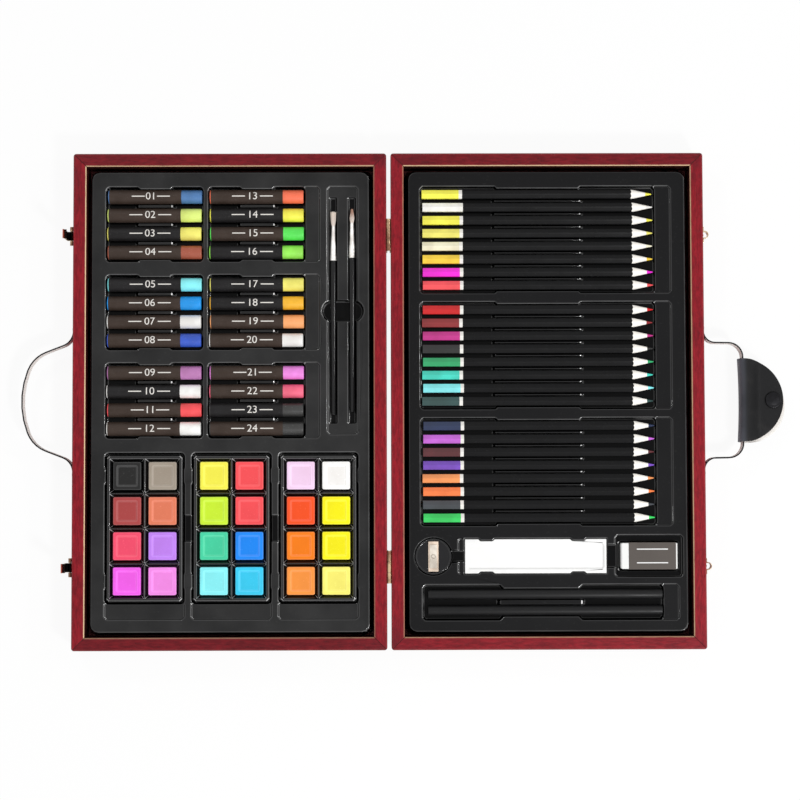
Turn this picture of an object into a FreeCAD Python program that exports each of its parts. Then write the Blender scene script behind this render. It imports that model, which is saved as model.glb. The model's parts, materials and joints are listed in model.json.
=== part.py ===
import FreeCAD, Part
import math
import os

# A hinged wooden art case, opened flat.  Its base half holds oil pastels, brushes and three
# boxes of paint cakes.  Its lid half holds coloured pencils, a sharpener, a mixing palette, an
# eraser and two sketching pencils.  Millimetres.  The origin is the middle of the base half's
# underside, +Z is up, and the lid lies beside the base, towards +X.

V = FreeCAD.Vector

# ------------------------------------------------------------------ how finely rounds are drawn
ROD_SIDES = 14             # the sticks and brushes repeat, so they are rods with flats
HEXAGON_SIDES = 6          # a pencil's barrel
CONE_SIDES = 12            # a pencil's point, whose flats scallop the end of its hexagon
DISC_SIDES = 36            # the larger discs
OVAL_FLATS = 10            # each end of an oval or of a staple
CORNER_FLATS = 3           # each small round corner in plan
STRAP_FLAT_TURN = 10.0     # degrees that a strap turns at most from one flat to the next

# ------------------------------------------------------------------ the case
RAIL_THICKNESS = 10.0
HALF_DEPTH = 27.0          # from the underside to the rim, one half
CORNER_ROUND = 2.0
OUTER_BREAK = 0.8          # chamfer along the rim's outer edge
INNER_BREAK = 1.0          # bare wood chamfer along the rim's inner edge
PANEL_THICKNESS = 3.0
PANEL_LIP = 5.0            # how far the panel's rebate reaches into a rail
PANEL_CLEARANCE = 0.1

# ------------------------------------------------------------------ hinges
HINGE_GAP = 3.2            # between the halves' walls while open
RIM_GAP = 0.3              # between the rims while closed
HINGE_SPACING = 254.0
HINGE_LENGTH = 25.0
KNUCKLES = 3
KNUCKLE_RADIUS = 1.45
KNUCKLE_PLAY = 0.3
HINGE_PIN_RADIUS = 0.7
HINGE_PIN_FIT = 0.05
LEAF_THICKNESS = 0.8
LEAF_DROP = 13.0           # from the pin's axis down to the leaf's lower edge

# ------------------------------------------------------------------ latches
LATCH_SPACING = 254.0
LATCH_SHEET = 0.7
LATCH_PIN_HEIGHT = 21.0
LATCH_PIN_STANDOFF = 1.8   # from the wall to the lever's pin
LATCH_PIN_RADIUS = 0.65
LATCH_PIN_FIT = 0.06        # between the pin and the lever that turns on it
LATCH_EYE_RADIUS = 1.4
LATCH_PLATE_WIDTH = 14.4
LATCH_PLATE_DROP = 11.0
LEVER_WIDTH = 7.0
LEVER_PLAY = 0.3
LEVER_RISE = 17.0          # from the pin to the top of the finger tab
FINGER_TAB = 2.4
FINGER_TAB_FLARE = 0.8
HOOK_REACH = 1.3
KEEPER_WIDTH = 6.0
KEEPER_REACH = 4.4
KEEPER_HEIGHT = 5.6
KEEPER_DROP = 2.0          # from the rim down to the keeper
KEEPER_FOOT = 3.0
KEEPER_SHEET = 0.7
LATCH_CLEARANCE = 0.35     # between the keeper and the lever that is hooked over it

# ------------------------------------------------------------------ handles
STRAP_THICKNESS = 1.2
STRAP_WIDTH = 10.0
STRAP_MIDDLE = 13.5        # height of the straps' middle above the underside
STRAP_FOOT_END = 64.0      # from the middle of the wall to the strap's end
# corners of each strap's middle line, out from the wall and along it, and their bends
BASE_STRAP_CORNERS = ((46.0, 0.0, 12.0), (34.0, 31.0, 24.0), (0.0, 44.0, 66.0))
LID_STRAP_CORNERS = ((44.5, 0.0, 9.0), (44.0, 30.2, 11.0))
GRIP_SHEET = 1.5
GRIP_FOLD_TURN = 0.4       # the bend of the fold, as a share of half its height
GRIP_BEND_SHARE = 1 / 3    # of the sheet, that the inside of a bend is moved in by
GRIP_HALF_LENGTH = 32.0
GRIP_FOLD = 27.5           # from the wall to the outside of the fold
GRIP_REACH = 62.4          # from the wall to the tip of the flaps
GRIP_FOLD_HEIGHT = 16.5    # over both flaps at the fold
GRIP_FLAP_GAP = 0.3
SNAP_FROM_WALL = 54.6
SNAP_CAP_RADIUS = 6.3
SNAP_CAP_HEIGHT = 1.8
SNAP_STUD_RADIUS = 4.8
SNAP_STUD_HEIGHT = 1.2

# ------------------------------------------------------------------ formed trays
TRAY_SHEET = 0.8
TRAY_CLEARANCE = 0.3       # between the tray's foot and the rails
DECK_INSET = 3.5           # from the rails to the deck's edge
DECK_DROP = 6.0            # from the rim to the deck
DECK_CORNER = 6.0
WALL_SLOPE = 0.08          # how far a pocket's wall leans out per millimetre of height
STEEP_SLOPE = 0.02         # the same for a pocket that fits one piece closely
POCKET_CORNER = 2.0
FINGER_DEPTH = 1.3         # shallow steps beside the pockets
SEAT_GAP = 0.3             # between a loose piece and the floor or web beside it
WEB_END_SLOPE = 2.2        # how far a web's ends lean
CUT_PAST = 1.0

# ------------------------------------------------------------------ oil pastels
PASTEL_LENGTH = 72.0
PASTEL_DIAMETER = 10.5
PASTEL_PITCH = 14.3
PASTELS_PER_POCKET = 4
PASTEL_POCKETS = 3
PASTEL_COLUMNS = 2
PASTEL_PROUD = 2.6
PASTEL_END_ROOM = 1.4
PASTEL_SIDE_ROOM = 2.2
PASTEL_TAB_START = 24.5
PASTEL_TAB_LENGTH = 26.4
PASTEL_WEB_DROP = 2.2      # from the deck down to the webs' tops
PASTEL_COLUMN_GAP = 3.7
PASTEL_POCKET_GAP = 10.1
PASTEL_FINGER_STEP = 11.0

# ------------------------------------------------------------------ brushes
BRUSHES = 2
BRUSH_PITCH = 14.4
BRUSH_RADIUS = 2.4         # where the ferrule meets the handle
BRUSH_HANDLE_LENGTH = 119.0
BRUSH_HANDLE_TIP = 1.4
BRUSH_NECK_RADIUS = 2.25    # the handle, where it enters the ferrule
BRUSH_FERRULE_LENGTH = 27.0
BRUSH_FERRULE_TIP = 1.3
BRISTLE_LENGTH = 11.0
BRISTLE_RADIUS = 2.0
BRISTLE_TIP = 0.4
BRISTLE_SWELL = 3.7         # from the ferrule to where the bristles are widest
BRUSH_PROUD = 0.3
BRUSH_STAGGER = 2.1
BRUSH_HEAD_ROOM = 11.0
BRUSH_TAIL_ROOM = 6.7
BRUSH_SIDE_ROOM = 0.6
BRUSH_BED_WIDTH = 23.7
BRUSH_BED_END = 8.0
BRUSH_BED_GAP = 5.8
SCOOP_LENGTH = 32.4
SCOOP_WIDTH = 17.3
SCOOP_DEPTH = 8.0
SCOOP_FROM_BED = 96.0      # from the rear end of the brushes' bed to the scoop's middle

# ------------------------------------------------------------------ paint boxes
PAINT_BOXES = 3
PAINT_COLUMNS = 2
PAINT_ROWS = 4
PAINT_BOX_HEIGHT = 8.0
PAINT_BOX_BORDER = 4.7     # from the outer cakes to the outside
PAINT_BOX_BREAK = 0.8
PAINT_BOX_FLOOR = 1.6
PAINT_BOX_CORNER = 2.0
CAKE_SIZE = 21.5
CAKE_HEIGHT = 5.0
CAKE_GAP_X = 5.6
CAKE_GAP_Y = 5.3
CAKE_ROOM = 2.2            # from a cake to its cell's wall at the top
CAKE_FIT = 0.15
CAKE_DISH_BORDER = 3.2
CAKE_DISH_DEPTH = 0.6
PAINT_PROUD = 0.4
PAINT_SIDE_ROOM = 1.6
PAINT_END_ROOM = 2.2
PAINT_POCKET_GAP = 5.2
PAINT_TAB_LENGTH = 11.6
PAINT_TAB_REACH = 0.7
PAINT_FINGER_STEP = 11.5
PAINT_BAND_GAP = 11.0
BRIDGE_LENGTH = 20.0
BRIDGE_DROP = 2.6

# ------------------------------------------------------------------ coloured pencils
PENCIL_LENGTH = 177.3
PENCIL_FLATS = 6.7
PENCIL_PITCH = 10.05
PENCILS_PER_POCKET = 8
PENCIL_POCKETS = 3
PENCIL_POINT = 16.5
PENCIL_TIP_RADIUS = 0.35
PENCIL_PROUD = 1.9
PENCIL_END_ROOM = 1.8
PENCIL_SIDE_ROOM = 2.2
PENCIL_TAB_START = 57.5
PENCIL_TAB_LENGTH = 66.0
PENCIL_WEB_DROP = 1.4
PENCIL_POCKET_GAP = 6.8
PENCIL_FINGER_STEP = 12.1

# ------------------------------------------------------------------ sharpener
SHARPENER_RADIUS = 13.7
SHARPENER_HEIGHT = 13.0
SHARPENER_PROUD = 1.6
SHARPENER_RIM = 1.0
SHARPENER_RIM_DEPTH = 0.5
SHARPENER_ROOM = 0.6
BLADE_BLOCK_WIDTH = 7.9
BLADE_BLOCK_LENGTH = 23.2
BLADE_BLOCK_HEIGHT = 8.0
BLADE_BLOCK_ROOM = 0.5
BLADE_THICKNESS = 0.6
BLADE_WIDTH = 5.4
BLADE_LENGTH = 18.0
BLADE_SCREW_RADIUS = 1.7
BLADE_SCREW_HEIGHT = 0.9

# ------------------------------------------------------------------ mixing palette
MIXER_LENGTH = 108.2
MIXER_WIDTH = 26.1
MIXER_HEIGHT = 5.0
MIXER_EDGE = 1.6
MIXER_DISH = 1.2
MIXER_ROOM = 0.5
MIXER_PROUD = 0.2
MIXER_NOTCH_LENGTH = 12.4
MIXER_NOTCH_DEPTH = 1.5
MIXER_NOTCH_FROM_LEFT = 10.3
MIXER_NOTCH_FROM_RIGHT = 15.3
MIXER_FINGER_STEP = 6.0
NECK_WIDTH = 9.0
NECK_LENGTH = 9.3
NECK_DEPTH = 4.0

# ------------------------------------------------------------------ eraser
ERASER_LENGTH = 43.3
ERASER_WIDTH = 20.6
ERASER_HEIGHT = 11.0
ERASER_BREAK = 0.8
ERASER_SLEEVE_LENGTH = 36.0
ERASER_SLEEVE_FROM_RIGHT = 1.2
ERASER_SLEEVE_CARD = 0.4
ERASER_PROUD = 1.5
ERASER_ROOM = 1.4
ERASER_STEP_SIDE = 4.2
ERASER_STEP_END = 3.0
ERASER_STEP_DEPTH = 3.0

# ------------------------------------------------------------------ sketching pencils
SKETCH_PENCILS = 2
SKETCH_LENGTH = 179.0
SKETCH_DIAMETER = 7.6
SKETCH_CORE_DIAMETER = 3.2
SKETCH_PITCH = 12.3
SKETCH_PROUD = 1.9
SKETCH_LEFT_ROOM = 4.0
SKETCH_RIGHT_ROOM = 1.0
SKETCH_SIDE_ROOM = 3.5
SKETCH_TAB_START = 59.0
SKETCH_TAB_LENGTH = 63.0
SKETCH_WEB_DROP = 1.6
SKETCH_FINGER_STEP = 11.9

# ------------------------------------------------------------------ the layout's margins
PASTEL_MARGIN_LEFT = 10.8
PAINT_MARGIN_LEFT = 10.6
BRUSH_MARGIN_RIGHT = 8.4
PASTEL_MARGIN_REAR = 11.4
PAINT_MARGIN_FRONT = 9.8
PENCIL_MARGIN_LEFT = 9.1
PENCIL_MARGIN_RIGHT = 10.9
PENCIL_MARGIN_REAR = 11.4
SHARPENER_MARGIN = 4.3
ERASER_MARGIN = 3.5
TOOL_BAND_GAP = 7.4
SKETCH_BAND_GAP = 5.8
SKETCH_MARGIN_FRONT = 8.2
SKETCH_MARGIN_LEFT = 10.4
SKETCH_MARGIN_RIGHT = 6.7

# ------------------------------------------------------------------ worked out from these
PENCIL_CORNERS = PENCIL_FLATS / math.cos(math.radians(30))
PASTEL_POCKET_LENGTH = PASTEL_LENGTH + 2 * PASTEL_END_ROOM
PASTEL_POCKET_SPAN = (PASTELS_PER_POCKET - 1) * PASTEL_PITCH + PASTEL_DIAMETER + 2 * PASTEL_SIDE_ROOM
PENCIL_POCKET_LENGTH = PENCIL_LENGTH + 2 * PENCIL_END_ROOM
PENCIL_POCKET_SPAN = (PENCILS_PER_POCKET - 1) * PENCIL_PITCH + PENCIL_CORNERS + 2 * PENCIL_SIDE_ROOM
CAKE_PITCH_X = CAKE_SIZE + CAKE_GAP_X
CAKE_PITCH_Y = CAKE_SIZE + CAKE_GAP_Y
PAINT_BOX_WIDTH = PAINT_COLUMNS * CAKE_PITCH_X - CAKE_GAP_X + 2 * PAINT_BOX_BORDER
PAINT_BOX_LENGTH = PAINT_ROWS * CAKE_PITCH_Y - CAKE_GAP_Y + 2 * PAINT_BOX_BORDER
PAINT_POCKET_WIDTH = PAINT_BOX_WIDTH + 2 * PAINT_SIDE_ROOM
PAINT_POCKET_LENGTH = PAINT_BOX_LENGTH + 2 * PAINT_END_ROOM
BRUSH_LENGTH = BRUSH_HANDLE_LENGTH + BRUSH_FERRULE_LENGTH + BRISTLE_LENGTH
SHARPENER_POCKET = 2 * (SHARPENER_RADIUS + SHARPENER_ROOM)
MIXER_POCKET_LENGTH = MIXER_LENGTH + 2 * MIXER_ROOM
ERASER_POCKET_LENGTH = ERASER_LENGTH + 2 * (ERASER_ROOM + ERASER_STEP_END)
ERASER_POCKET_WIDTH = ERASER_WIDTH + 2 * (ERASER_ROOM + ERASER_STEP_SIDE)
SKETCH_POCKET_LENGTH = SKETCH_LENGTH + SKETCH_LEFT_ROOM + SKETCH_RIGHT_ROOM
SKETCH_POCKET_SPAN = (SKETCH_PENCILS - 1) * SKETCH_PITCH + SKETCH_DIAMETER + 2 * SKETCH_SIDE_ROOM

PASTEL_BAND = (PASTEL_MARGIN_LEFT + PASTEL_COLUMNS * PASTEL_POCKET_LENGTH
               + (PASTEL_COLUMNS - 1) * PASTEL_COLUMN_GAP + PASTEL_FINGER_STEP
               + BRUSH_BED_GAP + BRUSH_BED_WIDTH + BRUSH_MARGIN_RIGHT)
PAINT_BAND = (PAINT_MARGIN_LEFT + PAINT_BOXES * PAINT_POCKET_WIDTH
              + (PAINT_BOXES - 1) * PAINT_POCKET_GAP + BRUSH_MARGIN_RIGHT)
PENCIL_BAND = (PENCIL_MARGIN_LEFT + PENCIL_POCKET_LENGTH
               + PENCIL_FINGER_STEP + PENCIL_MARGIN_RIGHT)
TOOL_BAND = (SHARPENER_MARGIN + SHARPENER_POCKET + NECK_LENGTH + MIXER_POCKET_LENGTH
             + MIXER_FINGER_STEP + ERASER_POCKET_LENGTH + ERASER_MARGIN)
SKETCH_BAND = (SKETCH_MARGIN_LEFT + SKETCH_POCKET_LENGTH
               + SKETCH_FINGER_STEP + SKETCH_MARGIN_RIGHT)
BASE_STACK = (PASTEL_MARGIN_REAR + PASTEL_POCKETS * PASTEL_POCKET_SPAN
              + (PASTEL_POCKETS - 1) * PASTEL_POCKET_GAP + PAINT_BAND_GAP
              + PAINT_POCKET_LENGTH + PAINT_FINGER_STEP + PAINT_MARGIN_FRONT)
LID_STACK = (PENCIL_MARGIN_REAR + PENCIL_POCKETS * PENCIL_POCKET_SPAN
             + (PENCIL_POCKETS - 1) * PENCIL_POCKET_GAP + TOOL_BAND_GAP
             + ERASER_POCKET_WIDTH + SKETCH_BAND_GAP + SKETCH_POCKET_SPAN + SKETCH_MARGIN_FRONT)

# both halves take the size that the fuller tray needs
DECK_WIDTH = max(PASTEL_BAND, PAINT_BAND, PENCIL_BAND, TOOL_BAND, SKETCH_BAND)
DECK_LENGTH = max(BASE_STACK, LID_STACK)
INNER_WIDTH = DECK_WIDTH + 2 * DECK_INSET
INNER_LENGTH = DECK_LENGTH + 2 * DECK_INSET
HALF_WIDTH = INNER_WIDTH + 2 * RAIL_THICKNESS
HALF_LENGTH = INNER_LENGTH + 2 * RAIL_THICKNESS
DECK_Z = HALF_DEPTH - DECK_DROP
DECK_LEFT = -DECK_WIDTH / 2
DECK_RIGHT = DECK_WIDTH / 2
DECK_REAR = DECK_LENGTH / 2
LID_X = HALF_WIDTH + HINGE_GAP
HINGE_X = LID_X / 2
HINGE_Z = HALF_DEPTH + RIM_GAP / 2
BASE_WALL = -HALF_WIDTH / 2
LID_WALL = LID_X + HALF_WIDTH / 2


# ------------------------------------------------------------------ plain shapes
def flat_polygon(points, z):
    corners = [V(x, y, z) for x, y in points]
    return Part.Face(Part.makePolygon(corners + corners[:1]))


def prism(points, low, high):
    """An outline in plan, extruded between two heights."""
    return flat_polygon(points, low).extrude(V(0, 0, high - low))


def frustum(low_points, low, high_points, high):
    """A solid with flat sides between two outlines that have the same number of corners."""
    below = [V(x, y, low) for x, y in low_points]
    above = [V(x, y, high) for x, y in high_points]
    sides = []
    for i in range(len(below)):
        j = (i + 1) % len(below)
        loop = [below[i], below[j], above[j], above[i], below[i]]
        sides.append(Part.Face(Part.makePolygon(loop)))
    ends = [flat_polygon(low_points, low), flat_polygon(high_points, high)]
    solid = Part.Solid(Part.Shell(sides + ends))
    if solid.Volume < 0:
        solid.reverse()
    return solid


def block(x0, x1, y0, y1, z0, z1):
    return Part.makeBox(x1 - x0, y1 - y0, z1 - z0, V(x0, y0, z0))


def along_y(radius, start, length, x, z):
    return Part.makeCylinder(radius, length, V(x, start, z), V(0, 1, 0))


def arc(x, y, radius, start, turn, flats):
    """Points on a circle in plan, from a starting angle round through a turn, in degrees."""
    flats = round(flats)
    angles = [math.radians(start + turn * i / flats) for i in range(flats + 1)]
    return [(x + radius * math.cos(angle), y + radius * math.sin(angle)) for angle in angles]


def circle(x, y, radius, sides=DISC_SIDES):
    """A round outline whose flats lie on the radius, the first facing -Y."""
    sides = round(sides)
    step = 360 / sides
    corner_radius = radius / math.cos(math.radians(step / 2))
    return arc(x, y, corner_radius, -90 + step / 2, 360, sides)[:-1]


def oval(x, y, length, width):
    """A round-ended outline that lies along X."""
    radius = width / 2
    straight = length / 2 - radius
    return (arc(x + straight, y, radius, -90, 180, OVAL_FLATS)
            + arc(x - straight, y, radius, 90, 180, OVAL_FLATS))


def rounded(width, length, radius):
    """A rectangle in plan about the origin, with round corners."""
    x, y = width / 2 - radius, length / 2 - radius
    return (arc(x, -y, radius, -90, 90, CORNER_FLATS) + arc(x, y, radius, 0, 90, CORNER_FLATS)
            + arc(-x, y, radius, 90, 90, CORNER_FLATS) + arc(-x, -y, radius, 180, 90, CORNER_FLATS))


def rod(stations, sides=ROD_SIDES):
    """A rod with flats that stands on the origin and has the given (height, radius) stations."""
    sides = round(sides)
    rings = [[V(x, y, height) for x, y in circle(0, 0, radius, sides)]
             for height, radius in stations]
    faces = []
    for below, above in zip(rings, rings[1:]):
        for i in range(sides):
            j = (i + 1) % sides
            loop = [below[i], below[j], above[j], above[i], below[i]]
            faces.append(Part.Face(Part.makePolygon(loop)))
    for ring in (rings[0], rings[-1]):
        faces.append(Part.Face(Part.makePolygon(ring + ring[:1])))
    solid = Part.Solid(Part.Shell(faces))
    if solid.Volume < 0:
        solid.reverse()
    return solid


def lay_along_x(upright, x, y, z):
    """Lay a rod down towards +X with its foot at a point and a flat underneath."""
    turned = upright.rotated(V(0, 0, 0), V(0, 0, 1), 90).rotated(V(0, 0, 0), V(0, 1, 0), 90)
    return turned.translated(V(x, y, z))


def lay_along_y(upright, x, y, z):
    """Lay a rod down towards +Y with its foot at a point and a flat underneath."""
    return upright.rotated(V(0, 0, 0), V(1, 0, 0), -90).translated(V(x, y, z))


def slab_across(points, half_width):
    """An outline of x and z, extruded along Y to both sides of the middle."""
    corners = [V(x, -half_width, z) for x, z in points]
    return Part.Face(Part.makePolygon(corners + corners[:1])).extrude(V(0, 2 * half_width, 0))


def inset(points, distance):
    """An anticlockwise outline with every side moved inwards by a distance."""
    moved = []
    count = len(points)
    for i in range(count):
        before, here, after = points[i - 1], points[i], points[(i + 1) % count]
        into = (here[0] - before[0], here[1] - before[1])
        out = (after[0] - here[0], after[1] - here[1])
        into_length = math.hypot(*into)
        out_length = math.hypot(*out)
        # the sides' inward normals, and the point that lies the distance inside both
        n1 = (-into[1] / into_length, into[0] / into_length)
        n2 = (-out[1] / out_length, out[0] / out_length)
        spread = 1 + n1[0] * n2[0] + n1[1] * n2[1]
        moved.append((here[0] + distance * (n1[0] + n2[0]) / spread,
                      here[1] + distance * (n1[1] + n2[1]) / spread))
    return moved


def outline(x0, x1, y0, y1, corner=0.0, x_tabs=(), y_tabs=(), reach=0.0):
    """A rectangle with cut corners, and tabs with 45 degree ends that reach in from its sides.

    x_tabs are spans along X on the front and rear sides, and y_tabs spans along Y on the others.
    """
    front, right, rear, left = [], [], [], []
    for low, high in x_tabs:
        front += [(low, y0), (low + reach, y0 + reach), (high - reach, y0 + reach), (high, y0)]
        rear = [(high, y1), (high - reach, y1 - reach), (low + reach, y1 - reach), (low, y1)] + rear
    for low, high in y_tabs:
        right += [(x1, low), (x1 - reach, low + reach), (x1 - reach, high - reach), (x1, high)]
        left = [(x0, high), (x0 + reach, high - reach), (x0 + reach, low + reach), (x0, low)] + left
    if not corner:
        return [(x0, y0)] + front + [(x1, y0)] + right + [(x1, y1)] + rear + [(x0, y1)] + left
    return ([(x0, y0 + corner), (x0 + corner, y0)] + front
            + [(x1 - corner, y0), (x1, y0 + corner)] + right
            + [(x1, y1 - corner), (x1 - corner, y1)] + rear
            + [(x0 + corner, y1), (x0, y1 - corner)] + left)


def one(shape):
    """The single solid that an operation left."""
    shape = shape.removeSplitter()
    return shape.Solids[0] if len(shape.Solids) == 1 else shape


def to_base_wall(shape):
    """Hardware drawn outwards from x = 0 goes on the base's outer wall, facing -X."""
    return shape.mirror(V(0, 0, 0), V(1, 0, 0)).translated(V(BASE_WALL, 0, 0))


def to_lid_wall(shape):
    return shape.translated(V(LID_WALL, 0, 0))


def save(name, shapes, on_lid=False):
    """Write one named piece, or a set of like pieces, moving what is drawn in the lid's frame."""
    shape = shapes if not isinstance(shapes, list) else Part.makeCompound(shapes)
    if on_lid:
        shape = shape.translated(V(LID_X, 0, 0))
    shape.exportStep("parts/" + name + ".step")


# ------------------------------------------------------------------ wooden halves
def broken_edge(points, low, high, edge):
    """A prism whose top edge is chamfered, inwards or, for a negative edge, outwards."""
    shoulder = high - abs(edge)
    return prism(points, low, shoulder).fuse(frustum(points, shoulder, inset(points, edge), high))


def frame_ring():
    """A half's four walls before the mitre cuts, with the rebate that takes the panel."""
    x, y = INNER_WIDTH / 2, INNER_LENGTH / 2
    lip_x, lip_y = x + PANEL_LIP, y + PANEL_LIP
    ring = broken_edge(rounded(HALF_WIDTH, HALF_LENGTH, CORNER_ROUND), 0, HALF_DEPTH, OUTER_BREAK)
    inside = broken_edge(outline(-x, x, -y, y), -CUT_PAST, HALF_DEPTH + CUT_PAST, -INNER_BREAK - CUT_PAST)
    rebate = block(-lip_x, lip_x, -lip_y, lip_y, -CUT_PAST, PANEL_THICKNESS)
    return one(ring.cut(inside).cut(rebate))


def rails(ring):
    """The ring cut along its mitres into the four rails."""
    x, y = HALF_WIDTH / 2 + CORNER_ROUND, HALF_LENGTH / 2 + CORNER_ROUND
    reach = RAIL_THICKNESS + 2 * CORNER_ROUND
    corners = {"front": [(-x, -y), (x, -y), (x - reach, -y + reach), (-x + reach, -y + reach)],
               "right": [(x, -y), (x, y), (x - reach, y - reach), (x - reach, -y + reach)],
               "rear": [(x, y), (-x, y), (-x + reach, y - reach), (x - reach, y - reach)],
               "left": [(-x, y), (-x, -y), (-x + reach, -y + reach), (-x + reach, y - reach)]}
    return {side: one(ring.common(prism(points, -CUT_PAST, HALF_DEPTH + CUT_PAST)))
            for side, points in corners.items()}


def panel():
    x = INNER_WIDTH / 2 + PANEL_LIP - PANEL_CLEARANCE
    y = INNER_LENGTH / 2 + PANEL_LIP - PANEL_CLEARANCE
    return block(-x, x, -y, y, 0, PANEL_THICKNESS)


# ------------------------------------------------------------------ hinges
def knuckle_spans():
    """The start and end of each knuckle along a hinge, from one end to the other."""
    step = HINGE_LENGTH / KNUCKLES
    half_play = KNUCKLE_PLAY / 2
    return [(i * step - HINGE_LENGTH / 2 + half_play, (i + 1) * step - HINGE_LENGTH / 2 - half_play)
            for i in range(KNUCKLES)]


def hinge_leaf(middle, side):
    """One leaf, screwed to a half's wall, with its share of the knuckles.

    side is -1 for the base's leaf and 1 for the lid's.
    """
    wall = HINGE_X + side * HINGE_GAP / 2
    face = wall - side * LEAF_THICKNESS
    half = HINGE_LENGTH / 2
    leaf = block(min(wall, face), max(wall, face), middle - half, middle + half,
                 HINGE_Z - LEAF_DROP, HINGE_Z)
    for i, (start, end) in enumerate(knuckle_spans()):
        mine = (i % 2 == 0) == (side < 0)
        if mine:
            leaf = leaf.fuse(along_y(KNUCKLE_RADIUS, middle + start, end - start, HINGE_X, HINGE_Z))
        else:
            room = KNUCKLE_RADIUS + KNUCKLE_PLAY
            leaf = leaf.cut(along_y(room, middle + start - KNUCKLE_PLAY,
                                    end - start + 2 * KNUCKLE_PLAY, HINGE_X, HINGE_Z))
    bore = HINGE_PIN_RADIUS + (HINGE_PIN_FIT if side > 0 else 0)
    return one(leaf.cut(along_y(bore, middle - half - CUT_PAST, HINGE_LENGTH + 2 * CUT_PAST,
                                HINGE_X, HINGE_Z)))


def hinge_pin(middle):
    length = HINGE_LENGTH - KNUCKLE_PLAY
    return along_y(HINGE_PIN_RADIUS, middle - length / 2, length, HINGE_X, HINGE_Z)


# ------------------------------------------------------------------ latches and keepers
def latch_plate():
    """A wall plate whose two ends roll outwards into eyes that hold the lever's pin fast."""
    half = LATCH_PLATE_WIDTH / 2
    eye_start = LEVER_WIDTH / 2 + LEVER_PLAY
    notch = LATCH_PIN_HEIGHT - LATCH_EYE_RADIUS - LEVER_PLAY
    plate = block(0, LATCH_SHEET, -half, half, LATCH_PIN_HEIGHT - LATCH_PLATE_DROP, LATCH_PIN_HEIGHT)
    plate = plate.cut(block(-CUT_PAST, LATCH_PIN_STANDOFF, -eye_start, eye_start,
                            notch, LATCH_PIN_HEIGHT + CUT_PAST))
    pieces = [along_y(LATCH_EYE_RADIUS, start, half - eye_start, LATCH_PIN_STANDOFF, LATCH_PIN_HEIGHT)
              for start in (-half, eye_start)]
    pin = along_y(LATCH_PIN_RADIUS, -half, LATCH_PLATE_WIDTH, LATCH_PIN_STANDOFF, LATCH_PIN_HEIGHT)
    return one(plate.fuse(pieces + [pin]))


def keeper_span():
    """The keeper's lower and upper edges, above the underside of its own half."""
    top = HALF_DEPTH - KEEPER_DROP
    return top - KEEPER_HEIGHT, top


def latch_lever():
    """A bent strip: an eye round the pin, an arm, a face, a hook bent inwards and a finger tab."""
    inner = KEEPER_REACH + LATCH_CLEARANCE
    outer = inner + LATCH_SHEET
    top = LATCH_PIN_HEIGHT + LEVER_RISE
    half_sheet = LATCH_SHEET / 2
    # the keeper's far edge once the lid is closed on the base
    hook = 2 * HINGE_Z - keeper_span()[0] + LATCH_CLEARANCE
    strip = [(LATCH_PIN_STANDOFF, LATCH_PIN_HEIGHT - half_sheet), (outer, LATCH_PIN_HEIGHT - half_sheet),
             (outer, top - FINGER_TAB), (outer + FINGER_TAB_FLARE, top),
             (inner + FINGER_TAB_FLARE, top), (inner, top - FINGER_TAB),
             (inner, hook + LATCH_SHEET), (inner - HOOK_REACH, hook + LATCH_SHEET),
             (inner - HOOK_REACH, hook), (inner, hook),
             (inner, LATCH_PIN_HEIGHT + half_sheet), (LATCH_PIN_STANDOFF, LATCH_PIN_HEIGHT + half_sheet)]
    half = LEVER_WIDTH / 2
    eye = along_y(LATCH_EYE_RADIUS, -half, LEVER_WIDTH, LATCH_PIN_STANDOFF, LATCH_PIN_HEIGHT)
    bore = along_y(LATCH_PIN_RADIUS + LATCH_PIN_FIT, -half - CUT_PAST, LEVER_WIDTH + 2 * CUT_PAST,
                   LATCH_PIN_STANDOFF, LATCH_PIN_HEIGHT)
    return one(slab_across(strip, half).fuse(eye).cut(bore))


def keeper():
    """A strip bent out from the wall into a round-fronted staple, with a foot at each side."""
    low, high = keeper_span()
    half = KEEPER_WIDTH / 2
    front = arc(KEEPER_REACH - half, 0, half, -90, 180, OVAL_FLATS)
    staple = prism([(0, -half)] + front + [(0, half)], low, high)
    foot = block(0, KEEPER_SHEET, -half - KEEPER_FOOT, half + KEEPER_FOOT, low, high)
    back = -KEEPER_SHEET - CUT_PAST
    space = inset([(back, -half)] + front + [(back, half)], KEEPER_SHEET)
    return one(staple.fuse(foot).cut(prism(space, low - CUT_PAST, high + CUT_PAST)))


# ------------------------------------------------------------------ handles
def strap(corners):
    """A flat strap on edge, out from the wall and back: straight runs joined by tangent bends.

    corners hold the place along the wall, the distance out from it and the bend, of one end's
    run.  The other end's run mirrors it.
    """
    foot = STRAP_THICKNESS / 2
    run = [(STRAP_FOOT_END, foot, 0.0)]
    for along, out, bend in corners:
        run.append((along, out + foot, bend))
    tip = [run.pop()] if run[-1][0] == 0 else []
    run += tip + [(-along, out, bend) for along, out, bend in reversed(run)]
    path = [run[0][:2]]
    for before, here, after in zip(run, run[1:], run[2:]):
        path += bend_points(before, here, after)
    path.append(run[-1][:2])
    near, far = beside(path, -foot), beside(path, foot)
    points = [(out, along) for along, out in near + far[::-1]]
    low = STRAP_MIDDLE - STRAP_WIDTH / 2
    return prism(points, low, low + STRAP_WIDTH)


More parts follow.
